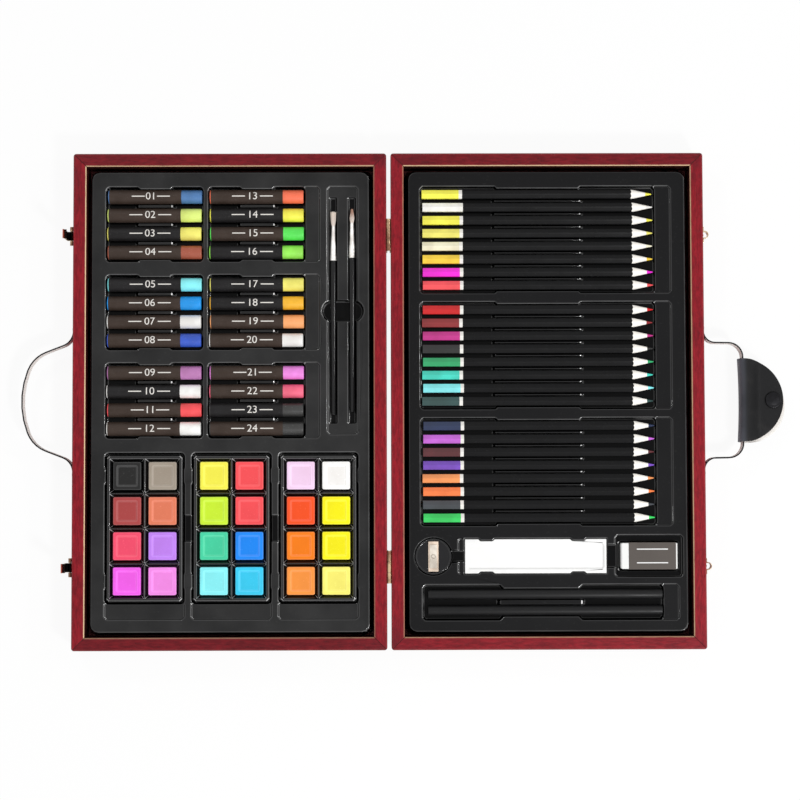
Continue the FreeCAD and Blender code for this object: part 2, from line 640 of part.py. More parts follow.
def bend_points(before, here, after):
    """Points round the bend at one corner of a run, from where it leaves the straight."""
    corner = V(here[0], here[1], 0)
    back = (V(before[0], before[1], 0) - corner).normalize()
    onward = (V(after[0], after[1], 0) - corner).normalize()
    half_angle = back.getAngle(onward) / 2
    radius = here[2]
    centre = corner + (back + onward).normalize() * (radius / math.sin(half_angle))
    reach = radius / math.tan(half_angle)
    start, end = corner + back * reach - centre, corner + onward * reach - centre
    turn = math.degrees(start.getAngle(end))
    flats = math.ceil(turn / STRAP_FLAT_TURN)
    way = 1 if start.cross(end).z > 0 else -1
    first = math.degrees(math.atan2(start.y, start.x))
    return arc(centre.x, centre.y, radius, first, way * turn, flats)


def beside(path, distance):
    """The path moved sideways by a distance, its corners kept the same distance from it."""
    moved = []
    for i, (x, y) in enumerate(path):
        ways = []
        for a, b in ((i - 1, i), (i, i + 1)):
            if a >= 0 and b < len(path):
                ways.append(V(path[b][0] - path[a][0], path[b][1] - path[a][1], 0).normalize())
        along = (ways[0] + ways[-1]).normalize()
        reach = distance / math.cos(along.getAngle(ways[0]))
        moved.append((x - along.y * reach, y + along.x * reach))
    return moved


def grip_flap(side):
    """One flap of the leather grip, from the middle of the fold to the tip of the half disc.

    side is -1 for the lower flap and 1 for the upper one, which is its mirror image.
    """
    fold, tip = GRIP_FOLD, GRIP_REACH
    half_height = GRIP_FOLD_HEIGHT / 2
    turn = half_height * GRIP_FOLD_TURN
    thin = GRIP_SHEET * GRIP_BEND_SHARE
    flat_from = SNAP_FROM_WALL - SNAP_CAP_RADIUS - 2 * GRIP_SHEET
    gap = GRIP_FLAP_GAP / 2
    # distances from the wall, and from the middle of the grip's height
    outer = [(fold, gap), (fold, half_height - turn), (fold + turn, half_height),
             (flat_from, gap + GRIP_SHEET), (tip, gap + GRIP_SHEET)]
    inner = [(tip, gap), (flat_from, gap), (fold + turn + thin, half_height - GRIP_SHEET),
             (fold + GRIP_SHEET, half_height - turn - thin), (fold + GRIP_SHEET, gap)]
    profile = [(out, STRAP_MIDDLE + side * height) for out, height in outer + inner]
    band = slab_across(profile, GRIP_HALF_LENGTH)
    half_disc = arc(GRIP_REACH - GRIP_HALF_LENGTH, 0, GRIP_HALF_LENGTH, -90, 180, DISC_SIDES // 2)
    plan = [(0, -GRIP_HALF_LENGTH)] + half_disc + [(0, GRIP_HALF_LENGTH)]
    return one(band.common(prism(plan, 0, HALF_DEPTH)))


def snap_cap():
    """The cap on the upper flap, a low dome."""
    flap_top = STRAP_MIDDLE + GRIP_FLAP_GAP / 2 + GRIP_SHEET
    edge = SNAP_CAP_HEIGHT / 2
    stations = ((0, SNAP_CAP_RADIUS), (SNAP_CAP_HEIGHT - edge, SNAP_CAP_RADIUS),
                (SNAP_CAP_HEIGHT, SNAP_CAP_RADIUS - edge))
    return rod(stations, DISC_SIDES // 2).translated(V(SNAP_FROM_WALL, 0, flap_top))


def snap_stud():
    flap_bottom = STRAP_MIDDLE - GRIP_FLAP_GAP / 2 - GRIP_SHEET
    stud = rod(((0, SNAP_STUD_RADIUS), (SNAP_STUD_HEIGHT, SNAP_STUD_RADIUS)))
    return stud.translated(V(SNAP_FROM_WALL, 0, flap_bottom - SNAP_STUD_HEIGHT))


# ------------------------------------------------------------------ formed trays
def seat(height, proud):
    """The underside of a piece of this height that stands proud of the deck."""
    return DECK_Z + proud - height


def pocket_depth(height, proud):
    return height - proud + SEAT_GAP


def cavity(points, depth, slope=WALL_SLOPE):
    """The space of a pocket, with walls that lean out towards the deck."""
    floor = inset(points, depth * slope)
    above = inset(points, -CUT_PAST * slope)
    return frustum(floor, DECK_Z - depth, above, DECK_Z + CUT_PAST)


def cup(points, depth, plain=True):
    """The sheet formed round a pocket, before the pocket's space is taken out of it.

    A plain cup is a rectangle round the outline, and any other follows the outline.
    """
    xs, ys = [p[0] for p in points], [p[1] for p in points]
    shape = outline(min(xs), max(xs), min(ys), max(ys)) if plain else points
    around = inset(shape, -TRAY_SHEET)
    floor = inset(around, depth * STEEP_SLOPE)
    return frustum(floor, DECK_Z - depth - TRAY_SHEET, around, DECK_Z - TRAY_SHEET / 2)


def web(x0, x1, middle, width, floor, top):
    """A low wall that the floor keeps between two pieces, with leaning ends."""
    lean = (top - floor) * WALL_SLOPE
    below = outline(x0 - WEB_END_SLOPE, x1 + WEB_END_SLOPE, middle - width / 2, middle + width / 2)
    above = outline(x0, x1, middle - width / 2 + lean, middle + width / 2 - lean)
    return frustum(below, floor, above, top)


def formed_tray(cups, cavities):
    """A sheet with a leaning skirt round a deck, cups formed down from it and their spaces cut."""
    foot = rounded(INNER_WIDTH - 2 * TRAY_CLEARANCE, INNER_LENGTH - 2 * TRAY_CLEARANCE, DECK_CORNER)
    deck = rounded(DECK_WIDTH, DECK_LENGTH, DECK_CORNER)
    skirt = frustum(foot, PANEL_THICKNESS, deck, DECK_Z)
    hollow = frustum(inset(foot, TRAY_SHEET), PANEL_THICKNESS, inset(deck, TRAY_SHEET), DECK_Z - TRAY_SHEET)
    return one(skirt.cut(hollow).fuse(cups).cut(cavities))


# ------------------------------------------------------------------ the base's tray
def pastel_pockets():
    """The left end and rear edge of each pastel pocket, by column."""
    columns = []
    step = PASTEL_POCKET_SPAN + PASTEL_POCKET_GAP
    for column in range(PASTEL_COLUMNS):
        left = DECK_LEFT + PASTEL_MARGIN_LEFT + column * (PASTEL_POCKET_LENGTH + PASTEL_COLUMN_GAP)
        columns.append([(left, DECK_REAR - PASTEL_MARGIN_REAR - row * step)
                        for row in range(PASTEL_POCKETS)])
    return columns


def pastel_middles(rear):
    first = rear - PASTEL_SIDE_ROOM - PASTEL_DIAMETER / 2
    return [first - i * PASTEL_PITCH for i in range(PASTELS_PER_POCKET)]


def brush_places():
    """Where each brush's middle line lies along X, and where its handle starts along Y."""
    right = DECK_RIGHT - BRUSH_MARGIN_RIGHT
    middle = right - BRUSH_BED_WIDTH / 2
    tail = DECK_REAR - PASTEL_MARGIN_REAR - BRUSH_BED_END - BRUSH_HEAD_ROOM - BRUSH_LENGTH
    first = middle - (BRUSHES - 1) * BRUSH_PITCH / 2
    return [(first + i * BRUSH_PITCH, tail + i * BRUSH_STAGGER) for i in range(BRUSHES)]


def paint_pockets():
    """The left edge and rear edge of each paint box's pocket."""
    rear = (DECK_REAR - PASTEL_MARGIN_REAR - PASTEL_POCKETS * PASTEL_POCKET_SPAN
            - (PASTEL_POCKETS - 1) * PASTEL_POCKET_GAP - PAINT_BAND_GAP)
    step = PAINT_POCKET_WIDTH + PAINT_POCKET_GAP
    last = DECK_RIGHT - BRUSH_MARGIN_RIGHT - PAINT_POCKET_WIDTH
    return [(last - (PAINT_BOXES - 1 - i) * step, rear) for i in range(PAINT_BOXES)]


def base_tray():
    cups, cavities = [], []
    depth = pocket_depth(PASTEL_DIAMETER, PASTEL_PROUD)
    for column, pockets in enumerate(pastel_pockets()):
        for left, rear in pockets:
            right, front = left + PASTEL_POCKET_LENGTH, rear - PASTEL_POCKET_SPAN
            tab = (left + PASTEL_TAB_START, left + PASTEL_TAB_START + PASTEL_TAB_LENGTH)
            wall_in = (DECK_DROP / 2) * WALL_SLOPE
            points = outline(left, right, front, rear, POCKET_CORNER, [tab],
                             reach=PASTEL_SIDE_ROOM - SEAT_GAP - wall_in)
            cups.append(cup(points, depth))
            space = cavity(points, depth)
            middles = pastel_middles(rear)
            webs = [web(tab[0], tab[1], (a + b) / 2, PASTEL_PITCH - PASTEL_DIAMETER - 2 * SEAT_GAP,
                        DECK_Z - depth - CUT_PAST, DECK_Z - PASTEL_WEB_DROP)
                    for a, b in zip(middles, middles[1:])]
            cavities.append(space.cut(webs))
            if column == PASTEL_COLUMNS - 1:
                step = outline(right - POCKET_CORNER, right + PASTEL_FINGER_STEP, front, rear, POCKET_CORNER)
                cups.append(cup(step, FINGER_DEPTH))
                cavities.append(cavity(step, FINGER_DEPTH))
    add_brush_bed(cups, cavities)
    add_paint_pockets(cups, cavities)
    return formed_tray(cups, cavities)


def add_brush_bed(cups, cavities):
    """A shallow bed with one slot for each brush and a finger scoop across them."""
    right = DECK_RIGHT - BRUSH_MARGIN_RIGHT
    left = right - BRUSH_BED_WIDTH
    rear = DECK_REAR - PASTEL_MARGIN_REAR
    places = brush_places()
    front = min(tail for _, tail in places) - BRUSH_TAIL_ROOM
    bed = outline(left, right, front - BRUSH_BED_END, rear, POCKET_CORNER)
    cups.append(cup(bed, FINGER_DEPTH))
    cavities.append(cavity(bed, FINGER_DEPTH))
    depth = pocket_depth(2 * BRUSH_RADIUS, BRUSH_PROUD)
    half = BRUSH_RADIUS + BRUSH_SIDE_ROOM
    for middle, _ in places:
        slot = outline(middle - half, middle + half, front, rear - BRUSH_BED_END, BRUSH_SIDE_ROOM)
        cups.append(cup(slot, depth))
        cavities.append(cavity(slot, depth))
    scoop = oval((left + right) / 2, rear - SCOOP_FROM_BED, SCOOP_LENGTH, SCOOP_WIDTH)
    cups.append(cup(scoop, SCOOP_DEPTH, plain=False))
    cavities.append(cavity(scoop, SCOOP_DEPTH))


def add_paint_pockets(cups, cavities):
    """The paint boxes' pockets, a finger step in front of each and a bridge cut between them."""
    depth = pocket_depth(PAINT_BOX_HEIGHT, PAINT_PROUD)
    pockets = paint_pockets()
    for left, rear in pockets:
        right, front = left + PAINT_POCKET_WIDTH, rear - PAINT_POCKET_LENGTH
        first_row = rear - PAINT_END_ROOM - PAINT_BOX_BORDER - CAKE_SIZE / 2
        last_row = first_row - (PAINT_ROWS - 1) * CAKE_PITCH_Y
        half = PAINT_TAB_LENGTH / 2
        tabs = [(last_row - half, last_row + half), (first_row - half, first_row + half)]
        points = outline(left, right, front, rear, POCKET_CORNER, y_tabs=tabs, reach=PAINT_TAB_REACH)
        step = outline(left, right, front - PAINT_FINGER_STEP, front + POCKET_CORNER, POCKET_CORNER)
        cups += [cup(points, depth), cup(step, FINGER_DEPTH)]
        cavities += [cavity(points, depth), cavity(step, FINGER_DEPTH)]
    for (left, rear), (next_left, _) in zip(pockets, pockets[1:]):
        middle = rear - PAINT_POCKET_LENGTH / 2
        bridge = outline(left + PAINT_POCKET_WIDTH - CUT_PAST, next_left + CUT_PAST,
                         middle - BRIDGE_LENGTH / 2, middle + BRIDGE_LENGTH / 2)
        cups.append(cup(bridge, BRIDGE_DROP))
        cavities.append(cavity(bridge, BRIDGE_DROP))


# ------------------------------------------------------------------ the lid's tray
def pencil_pockets():
    """The left end and rear edge of each pencil pocket."""
    left = DECK_LEFT + PENCIL_MARGIN_LEFT
    step = PENCIL_POCKET_SPAN + PENCIL_POCKET_GAP
    return [(left, DECK_REAR - PENCIL_MARGIN_REAR - i * step) for i in range(PENCIL_POCKETS)]


def pencil_middles(rear):
    first = rear - PENCIL_SIDE_ROOM - PENCIL_CORNERS / 2
    return [first - i * PENCIL_PITCH for i in range(PENCILS_PER_POCKET)]


def tool_middle():
    """The middle of the band that holds the sharpener, the mixing palette and the eraser."""
    rear = pencil_pockets()[-1][1] - PENCIL_POCKET_SPAN - TOOL_BAND_GAP
    return rear - ERASER_POCKET_WIDTH / 2


def sharpener_middle():
    return DECK_LEFT + SHARPENER_MARGIN + SHARPENER_POCKET / 2


def mixer_left():
    return DECK_LEFT + SHARPENER_MARGIN + SHARPENER_POCKET + NECK_LENGTH + MIXER_ROOM


def eraser_left():
    pocket = mixer_left() + MIXER_LENGTH + MIXER_ROOM + MIXER_FINGER_STEP
    return pocket + ERASER_STEP_END + ERASER_ROOM


def sketch_pocket():
    """The left end and rear edge of the sketching pencils' pocket."""
    rear = tool_middle() - ERASER_POCKET_WIDTH / 2 - SKETCH_BAND_GAP
    return DECK_LEFT + SKETCH_MARGIN_LEFT, rear


def sketch_middles():
    first = sketch_pocket()[1] - SKETCH_SIDE_ROOM - SKETCH_DIAMETER / 2
    return [first - i * SKETCH_PITCH for i in range(SKETCH_PENCILS)]


def mixer_outline():
    """The mixing palette's outline, with the four notches that the tray's tabs stand in."""
    left, y = mixer_left(), tool_middle()
    right = left + MIXER_LENGTH
    notches = [(left + MIXER_NOTCH_FROM_LEFT, left + MIXER_NOTCH_FROM_LEFT + MIXER_NOTCH_LENGTH),
               (right - MIXER_NOTCH_FROM_RIGHT - MIXER_NOTCH_LENGTH, right - MIXER_NOTCH_FROM_RIGHT)]
    return outline(left, right, y - MIXER_WIDTH / 2, y + MIXER_WIDTH / 2,
                   x_tabs=notches, reach=MIXER_NOTCH_DEPTH)


def lid_tray():
    cups, cavities = [], []
    depth = pocket_depth(PENCIL_FLATS, PENCIL_PROUD)
    for left, rear in pencil_pockets():
        add_rod_pocket(cups, cavities, left, left + PENCIL_POCKET_LENGTH, rear, PENCIL_POCKET_SPAN, depth,
                       (left + PENCIL_TAB_START, left + PENCIL_TAB_START + PENCIL_TAB_LENGTH),
                       PENCIL_SIDE_ROOM - 2 * SEAT_GAP, pencil_middles(rear),
                       PENCIL_PITCH - PENCIL_CORNERS - 2 * SEAT_GAP, PENCIL_WEB_DROP, PENCIL_FINGER_STEP)
    left, rear = sketch_pocket()
    add_rod_pocket(cups, cavities, left, left + SKETCH_POCKET_LENGTH, rear, SKETCH_POCKET_SPAN,
                   pocket_depth(SKETCH_DIAMETER, SKETCH_PROUD),
                   (left + SKETCH_TAB_START, left + SKETCH_TAB_START + SKETCH_TAB_LENGTH),
                   SKETCH_SIDE_ROOM - 2 * SEAT_GAP, sketch_middles(),
                   SKETCH_PITCH - SKETCH_DIAMETER - 2 * SEAT_GAP, SKETCH_WEB_DROP, SKETCH_FINGER_STEP)
    add_tool_pockets(cups, cavities)
    return formed_tray(cups, cavities)


def add_rod_pocket(cups, cavities, left, right, rear, span, depth, tab, reach, middles,
                   web_width, web_drop, finger_step):
    """A pocket for rods side by side: a tab at each side, webs between, a step past the right end."""
    front = rear - span
    points = outline(left, right, front, rear, POCKET_CORNER, [tab], reach=reach)
    webs = [web(tab[0], tab[1], (a + b) / 2, web_width, DECK_Z - depth - CUT_PAST, DECK_Z - web_drop)
            for a, b in zip(middles, middles[1:])]
    step = outline(right - POCKET_CORNER, right + finger_step, front, rear, POCKET_CORNER)
    cups += [cup(points, depth), cup(step, FINGER_DEPTH)]
    cavities += [cavity(points, depth).cut(webs), cavity(step, FINGER_DEPTH)]


def add_tool_pockets(cups, cavities):
    """The sharpener's round well, the mixing palette's bed and the eraser's stepped pocket."""
    x, y = sharpener_middle(), tool_middle()
    radius = SHARPENER_RADIUS + SHARPENER_ROOM
    depth = pocket_depth(SHARPENER_HEIGHT, SHARPENER_PROUD)
    round_well = circle(x, y, radius)
    cups.append(cup(round_well, depth, plain=False))
    cavities.append(cavity(round_well, depth, STEEP_SLOPE))
    bed = inset(mixer_outline(), -MIXER_ROOM)
    bed_depth = pocket_depth(MIXER_HEIGHT, MIXER_PROUD)
    bed_left, bed_right = mixer_left() - MIXER_ROOM, mixer_left() + MIXER_LENGTH + MIXER_ROOM
    neck = outline(x + radius - CUT_PAST, bed_left + POCKET_CORNER, y - NECK_WIDTH / 2, y + NECK_WIDTH / 2)
    shoulder = outline(bed_left - NECK_LENGTH / 2, bed_left + POCKET_CORNER,
                       y - MIXER_WIDTH / 2, y + MIXER_WIDTH / 2, POCKET_CORNER / 2)
    recess = outline(bed_right - POCKET_CORNER, bed_right + MIXER_FINGER_STEP + POCKET_CORNER,
                     y - NECK_WIDTH, y + NECK_WIDTH)
    left = eraser_left()
    room = ERASER_ROOM
    well = outline(left - room, left + ERASER_LENGTH + room,
                   y - ERASER_WIDTH / 2 - room, y + ERASER_WIDTH / 2 + room, POCKET_CORNER / 2)
    ledge = outline(left - room - ERASER_STEP_END, left + ERASER_LENGTH + room + ERASER_STEP_END,
                    y - ERASER_POCKET_WIDTH / 2, y + ERASER_POCKET_WIDTH / 2, POCKET_CORNER)
    well_depth = pocket_depth(ERASER_HEIGHT, ERASER_PROUD)
    for points, deep, slope in ((bed, bed_depth, STEEP_SLOPE), (neck, NECK_DEPTH, WALL_SLOPE),
                                (shoulder, FINGER_DEPTH, WALL_SLOPE), (recess, NECK_DEPTH, WALL_SLOPE),
                                (well, well_depth, WALL_SLOPE), (ledge, ERASER_STEP_DEPTH, WALL_SLOPE)):
        cups.append(cup(points, deep))
        cavities.append(cavity(points, deep, slope))


# ------------------------------------------------------------------ what the base holds
def pastel(left, middle):
    """A round stick.  Its paper sleeve is too thin to draw."""
    radius = PASTEL_DIAMETER / 2
    stick = rod(((0, radius), (PASTEL_LENGTH, radius)))
    return lay_along_x(stick, left, middle, seat(PASTEL_DIAMETER, PASTEL_PROUD) + radius)


def brush(middle, tail):
    """Handle, ferrule and bristles, each its own solid, end to end along Y."""
    z = seat(2 * BRUSH_RADIUS, BRUSH_PROUD) + BRUSH_RADIUS
    ferrule = tail + BRUSH_HANDLE_LENGTH
    bristles = ferrule + BRUSH_FERRULE_LENGTH
    handle = rod(((0, BRUSH_HANDLE_TIP), (BRUSH_HANDLE_LENGTH, BRUSH_NECK_RADIUS)))
    sleeve = rod(((0, BRUSH_RADIUS), (BRUSH_FERRULE_LENGTH, BRUSH_FERRULE_TIP)))
    tuft = rod(((0, BRUSH_FERRULE_TIP), (BRISTLE_SWELL, BRISTLE_RADIUS),
                (BRISTLE_LENGTH, BRISTLE_TIP)))
    return [lay_along_y(handle, middle, tail, z), lay_along_y(sleeve, middle, ferrule, z),
            lay_along_y(tuft, middle, bristles, z)]


def cake_places(left, rear):
    """The middle of each cake in the paint box whose pocket has this left and rear edge."""
    x = left + PAINT_SIDE_ROOM + PAINT_BOX_BORDER + CAKE_SIZE / 2
    y = rear - PAINT_END_ROOM - PAINT_BOX_BORDER - CAKE_SIZE / 2
    return [(x + column * CAKE_PITCH_X, y - row * CAKE_PITCH_Y)
            for row in range(PAINT_ROWS) for column in range(PAINT_COLUMNS)]


def square(x, y, half):
    return outline(x - half, x + half, y - half, y + half)


def paint_box(left, rear):
    """An open box of eight cells with leaning walls, and a chamfer round its top."""
    x0, y1 = left + PAINT_SIDE_ROOM, rear - PAINT_END_ROOM
    points = outline(x0, x0 + PAINT_BOX_WIDTH, y1 - PAINT_BOX_LENGTH, y1, PAINT_BOX_CORNER)
    low = seat(PAINT_BOX_HEIGHT, PAINT_PROUD)
    high = low + PAINT_BOX_HEIGHT
    body = prism(points, low, high - PAINT_BOX_BREAK)
    body = body.fuse(frustum(points, high - PAINT_BOX_BREAK, inset(points, PAINT_BOX_BREAK), high))
    floor = low + PAINT_BOX_FLOOR
    cells = [frustum(square(x, y, CAKE_SIZE / 2 + CAKE_FIT), floor,
                     square(x, y, CAKE_SIZE / 2 + CAKE_ROOM + CUT_PAST / 2), high + CUT_PAST)
             for x, y in cake_places(left, rear)]
    return one(body.cut(cells))


def cake(x, y):
    """A pressed cake of paint with a shallow square dish in its top."""
    low = seat(PAINT_BOX_HEIGHT, PAINT_PROUD) + PAINT_BOX_FLOOR
    high = low + CAKE_HEIGHT
    body = prism(square(x, y, CAKE_SIZE / 2), low, high)
    dish = CAKE_SIZE / 2 - CAKE_DISH_BORDER
    return body.cut(frustum(square(x, y, dish - CAKE_DISH_DEPTH), high - CAKE_DISH_DEPTH,
                            square(x, y, dish + CUT_PAST), high + CUT_PAST))


# ------------------------------------------------------------------ what the lid holds
def pencil(left, middle):
    """A hexagonal pencil lying on a flat, sharpened at its right end."""
    barrel = rod(((0, PENCIL_FLATS / 2), (PENCIL_LENGTH, PENCIL_FLATS / 2)), HEXAGON_SIDES)
    slope = (PENCIL_CORNERS / 2 - PENCIL_TIP_RADIUS) / PENCIL_POINT
    root = PENCIL_TIP_RADIUS + slope * PENCIL_LENGTH
    cone = rod(((0, root), (PENCIL_LENGTH, PENCIL_TIP_RADIUS)), CONE_SIDES)
    level = seat(PENCIL_FLATS, PENCIL_PROUD) + PENCIL_FLATS / 2
    return lay_along_x(barrel.common(cone), left, middle, level)


def sketch_pencil(middle):
    """A round pencil cut square at both ends, and the core that shows there."""
    core = rod(((0, SKETCH_CORE_DIAMETER / 2), (SKETCH_LENGTH, SKETCH_CORE_DIAMETER / 2)))
    wood = rod(((0, SKETCH_DIAMETER / 2), (SKETCH_LENGTH, SKETCH_DIAMETER / 2))).cut(core)
    left = sketch_pocket()[0] + SKETCH_LEFT_ROOM
    z = seat(SKETCH_DIAMETER, SKETCH_PROUD) + SKETCH_DIAMETER / 2
    return [lay_along_x(piece, left, middle, z) for piece in (wood, core)]


def sharpener():
    """A round shavings holder with a raised rim, its slot open to the blade block."""
    x, y = sharpener_middle(), tool_middle()
    low = seat(SHARPENER_HEIGHT, SHARPENER_PROUD)
    high = low + SHARPENER_HEIGHT
    body = prism(circle(x, y, SHARPENER_RADIUS), low, high)
    top = high - SHARPENER_RIM_DEPTH
    dished = prism(circle(x, y, SHARPENER_RADIUS - SHARPENER_RIM), top, high + CUT_PAST)
    half_width = BLADE_BLOCK_WIDTH / 2 + BLADE_BLOCK_ROOM
    half_length = BLADE_BLOCK_LENGTH / 2 + BLADE_BLOCK_ROOM
    slot = block(x - half_width, x + half_width, y - half_length, y + half_length,
                 top - BLADE_BLOCK_HEIGHT, high)
    return one(body.cut(dished).cut(slot))


def sharpener_blade():
    """The metal block in the slot, with its blade and the screw that holds it."""
    x, y = sharpener_middle(), tool_middle()
    top = seat(SHARPENER_HEIGHT, SHARPENER_PROUD) + SHARPENER_HEIGHT - SHARPENER_RIM_DEPTH
    low, high = top - BLADE_BLOCK_HEIGHT, top - BLADE_THICKNESS
    body = block(x - BLADE_BLOCK_WIDTH / 2, x + BLADE_BLOCK_WIDTH / 2,
                 y - BLADE_BLOCK_LENGTH / 2, y + BLADE_BLOCK_LENGTH / 2, low, high)
    blade = block(x - BLADE_WIDTH / 2, x + BLADE_WIDTH / 2,
                  y - BLADE_LENGTH / 2, y + BLADE_LENGTH / 2, high, top)
    screw = rod(((0, BLADE_SCREW_RADIUS), (BLADE_SCREW_HEIGHT, BLADE_SCREW_RADIUS)), CONE_SIDES)
    return [body, blade, screw.translated(V(x, y, top))]


def mixer():
    """A notched plastic palette with a shallow dish."""
    low = seat(MIXER_HEIGHT, MIXER_PROUD)
    high = low + MIXER_HEIGHT
    points = mixer_outline()
    left, y = mixer_left(), tool_middle()
    edge = MIXER_NOTCH_DEPTH + MIXER_EDGE
    dish = outline(left + MIXER_EDGE, left + MIXER_LENGTH - MIXER_EDGE, y - MIXER_WIDTH / 2 + edge,
                   y + MIXER_WIDTH / 2 - edge, MIXER_EDGE)
    space = frustum(inset(dish, MIXER_DISH), high - MIXER_DISH, inset(dish, -CUT_PAST), high + CUT_PAST)
    return one(prism(points, low, high).cut(space))


def eraser():
    """The rubber block and the card sleeve round it."""
    left, y = eraser_left(), tool_middle()
    card = ERASER_SLEEVE_CARD
    half = ERASER_WIDTH / 2 - card
    low = seat(ERASER_HEIGHT, ERASER_PROUD) + card
    high = low + ERASER_HEIGHT - 2 * card
    rubber = block(left, left + ERASER_LENGTH, y - half, y + half, low, high)
    right = left + ERASER_LENGTH - ERASER_SLEEVE_FROM_RIGHT
    sleeve = block(right - ERASER_SLEEVE_LENGTH, right, y - half - card, y + half + card,
                   low - card, high + card)
    ends = [e for e in rubber.Edges if abs(e.CenterOfMass.x - left) < ERASER_BREAK / 2]
    return [rubber.makeChamfer(ERASER_BREAK, ends), sleeve.cut(rubber)]


# ------------------------------------------------------------------ every piece
def save_case():
    ring = frame_ring()
    for side, rail in rails(ring).items():
        save("base_rail_" + side, rail)
        save("lid_rail_" + side, rail, on_lid=True)
    save("base_panel", panel())
    save("lid_panel", panel(), on_lid=True)
    save("base_tray", base_tray())
    save("lid_tray", lid_tray(), on_lid=True)


def save_hardware():
    hinge_middles = [-HINGE_SPACING / 2, HINGE_SPACING / 2]
    for i, middle in enumerate(hinge_middles, 1):
        save(f"base_hinge_leaf_{i}", hinge_leaf(middle, -1))
        save(f"lid_hinge_leaf_{i}", hinge_leaf(middle, 1))
        save(f"hinge_pin_{i}", hinge_pin(middle))
    for i, middle in enumerate((-LATCH_SPACING / 2, LATCH_SPACING / 2), 1):
        here = V(0, middle, 0)
        save(f"latch_plate_{i}", to_base_wall(latch_plate()).translated(here))
        save(f"latch_lever_{i}", to_base_wall(latch_lever()).translated(here))
        save(f"keeper_{i}", to_lid_wall(keeper()).translated(here))
    save("base_strap", to_base_wall(strap(BASE_STRAP_CORNERS)))
    save("lid_strap", to_lid_wall(strap(LID_STRAP_CORNERS)))
    save("grip_lower_flap", to_lid_wall(grip_flap(-1)))
    save("grip_upper_flap", to_lid_wall(grip_flap(1)))
    save("snap_cap", to_lid_wall(snap_cap()))
    save("snap_stud", to_lid_wall(snap_stud()))


def save_base_contents():
    for name, pockets in zip(("left", "right"), pastel_pockets()):
        save("pastels_" + name, [pastel(left + PASTEL_END_ROOM, middle)
                                 for left, rear in pockets for middle in pastel_middles(rear)])
    for i, (middle, tail) in enumerate(brush_places(), 1):
        save(f"brush_{i}", brush(middle, tail))
    for i, (left, rear) in enumerate(paint_pockets(), 1):
        save(f"paint_box_{i}", paint_box(left, rear))
        save(f"paint_cakes_{i}", [cake(x, y) for x, y in cake_places(left, rear)])


def save_lid_contents():
    for i, (left, rear) in enumerate(pencil_pockets(), 1):
        save(f"pencils_{i}", [pencil(left + PENCIL_END_ROOM, middle) for middle in pencil_middles(rear)],
             on_lid=True)
    for i, middle in enumerate(sketch_middles(), 1):
        save(f"sketch_pencil_{i}", sketch_pencil(middle), on_lid=True)
    save("sharpener", sharpener(), on_lid=True)
    save("sharpener_blade", sharpener_blade(), on_lid=True)
    save("mixing_palette", mixer(), on_lid=True)
    rubber, sleeve = eraser()
    save("eraser", rubber, on_lid=True)
    save("eraser_sleeve", sleeve, on_lid=True)


os.makedirs("parts", exist_ok=True)
save_case()
save_hardware()
save_base_contents()
save_lid_contents()
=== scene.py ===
"""Dresses a hinged wooden art case, opened flat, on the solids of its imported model.

Its base half holds oil pastels, brushes and paint boxes, and its lid half holds coloured
pencils, a sharpener, a mixing palette, an eraser and two sketching pencils. Metres, in the
frame's own axes: +Z is up, and the lid lies beside the base, towards +X.
"""

import json
import math
import random

import bmesh
import bpy
from mathutils import Matrix, Vector

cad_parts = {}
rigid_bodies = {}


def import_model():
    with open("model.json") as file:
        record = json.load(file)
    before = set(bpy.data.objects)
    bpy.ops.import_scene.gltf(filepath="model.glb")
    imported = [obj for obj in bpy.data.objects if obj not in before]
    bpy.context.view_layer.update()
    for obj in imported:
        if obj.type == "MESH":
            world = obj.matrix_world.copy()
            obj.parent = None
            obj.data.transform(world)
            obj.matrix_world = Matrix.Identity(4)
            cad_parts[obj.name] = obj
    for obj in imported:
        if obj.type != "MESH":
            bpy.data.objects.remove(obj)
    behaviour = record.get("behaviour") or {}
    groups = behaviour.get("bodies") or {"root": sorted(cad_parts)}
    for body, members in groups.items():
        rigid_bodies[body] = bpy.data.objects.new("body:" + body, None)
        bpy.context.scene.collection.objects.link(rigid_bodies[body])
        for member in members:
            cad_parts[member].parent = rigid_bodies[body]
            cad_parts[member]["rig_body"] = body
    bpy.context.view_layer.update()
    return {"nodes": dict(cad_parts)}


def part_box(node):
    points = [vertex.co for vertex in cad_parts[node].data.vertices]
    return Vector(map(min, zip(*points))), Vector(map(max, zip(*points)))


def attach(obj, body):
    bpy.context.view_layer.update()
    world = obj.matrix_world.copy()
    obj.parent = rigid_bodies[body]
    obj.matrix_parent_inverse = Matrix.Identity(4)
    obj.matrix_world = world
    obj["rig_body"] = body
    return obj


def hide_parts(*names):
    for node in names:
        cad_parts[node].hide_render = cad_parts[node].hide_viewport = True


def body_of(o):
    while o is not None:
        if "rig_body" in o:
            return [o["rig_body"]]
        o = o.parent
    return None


bl_info = {
    "name": "Wooden art case",
    "version": (1, 0, 0),
    "blender": (4, 5, 0),
    "location": "View3D > Sidebar > Art case",
    "description": "Builds the finishes and fine pieces of an opened art case",
    "category": "Object",
}

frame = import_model()
MM = 0.001

BASE_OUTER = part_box("base_rail_left")[0].x
HALF_WIDTH = -BASE_OUTER
HALF_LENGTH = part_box("base_rail_rear")[1].y
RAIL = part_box("base_rail_left")[1].x - BASE_OUTER
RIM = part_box("base_rail_left")[1].z
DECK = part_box("base_tray")[1].z
LID_X = (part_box("lid_panel")[0].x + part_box("lid_panel")[1].x) / 2
CENTRE_X = {"base": 0.0, "lid": LID_X}
HALVES = ("base", "lid")
SIDES = ("front", "right", "rear", "left")
PAIR = (1, 2)
TRIO = (1, 2, 3)
FLAT_BRUSH, ROUND_BRUSH = PAIR

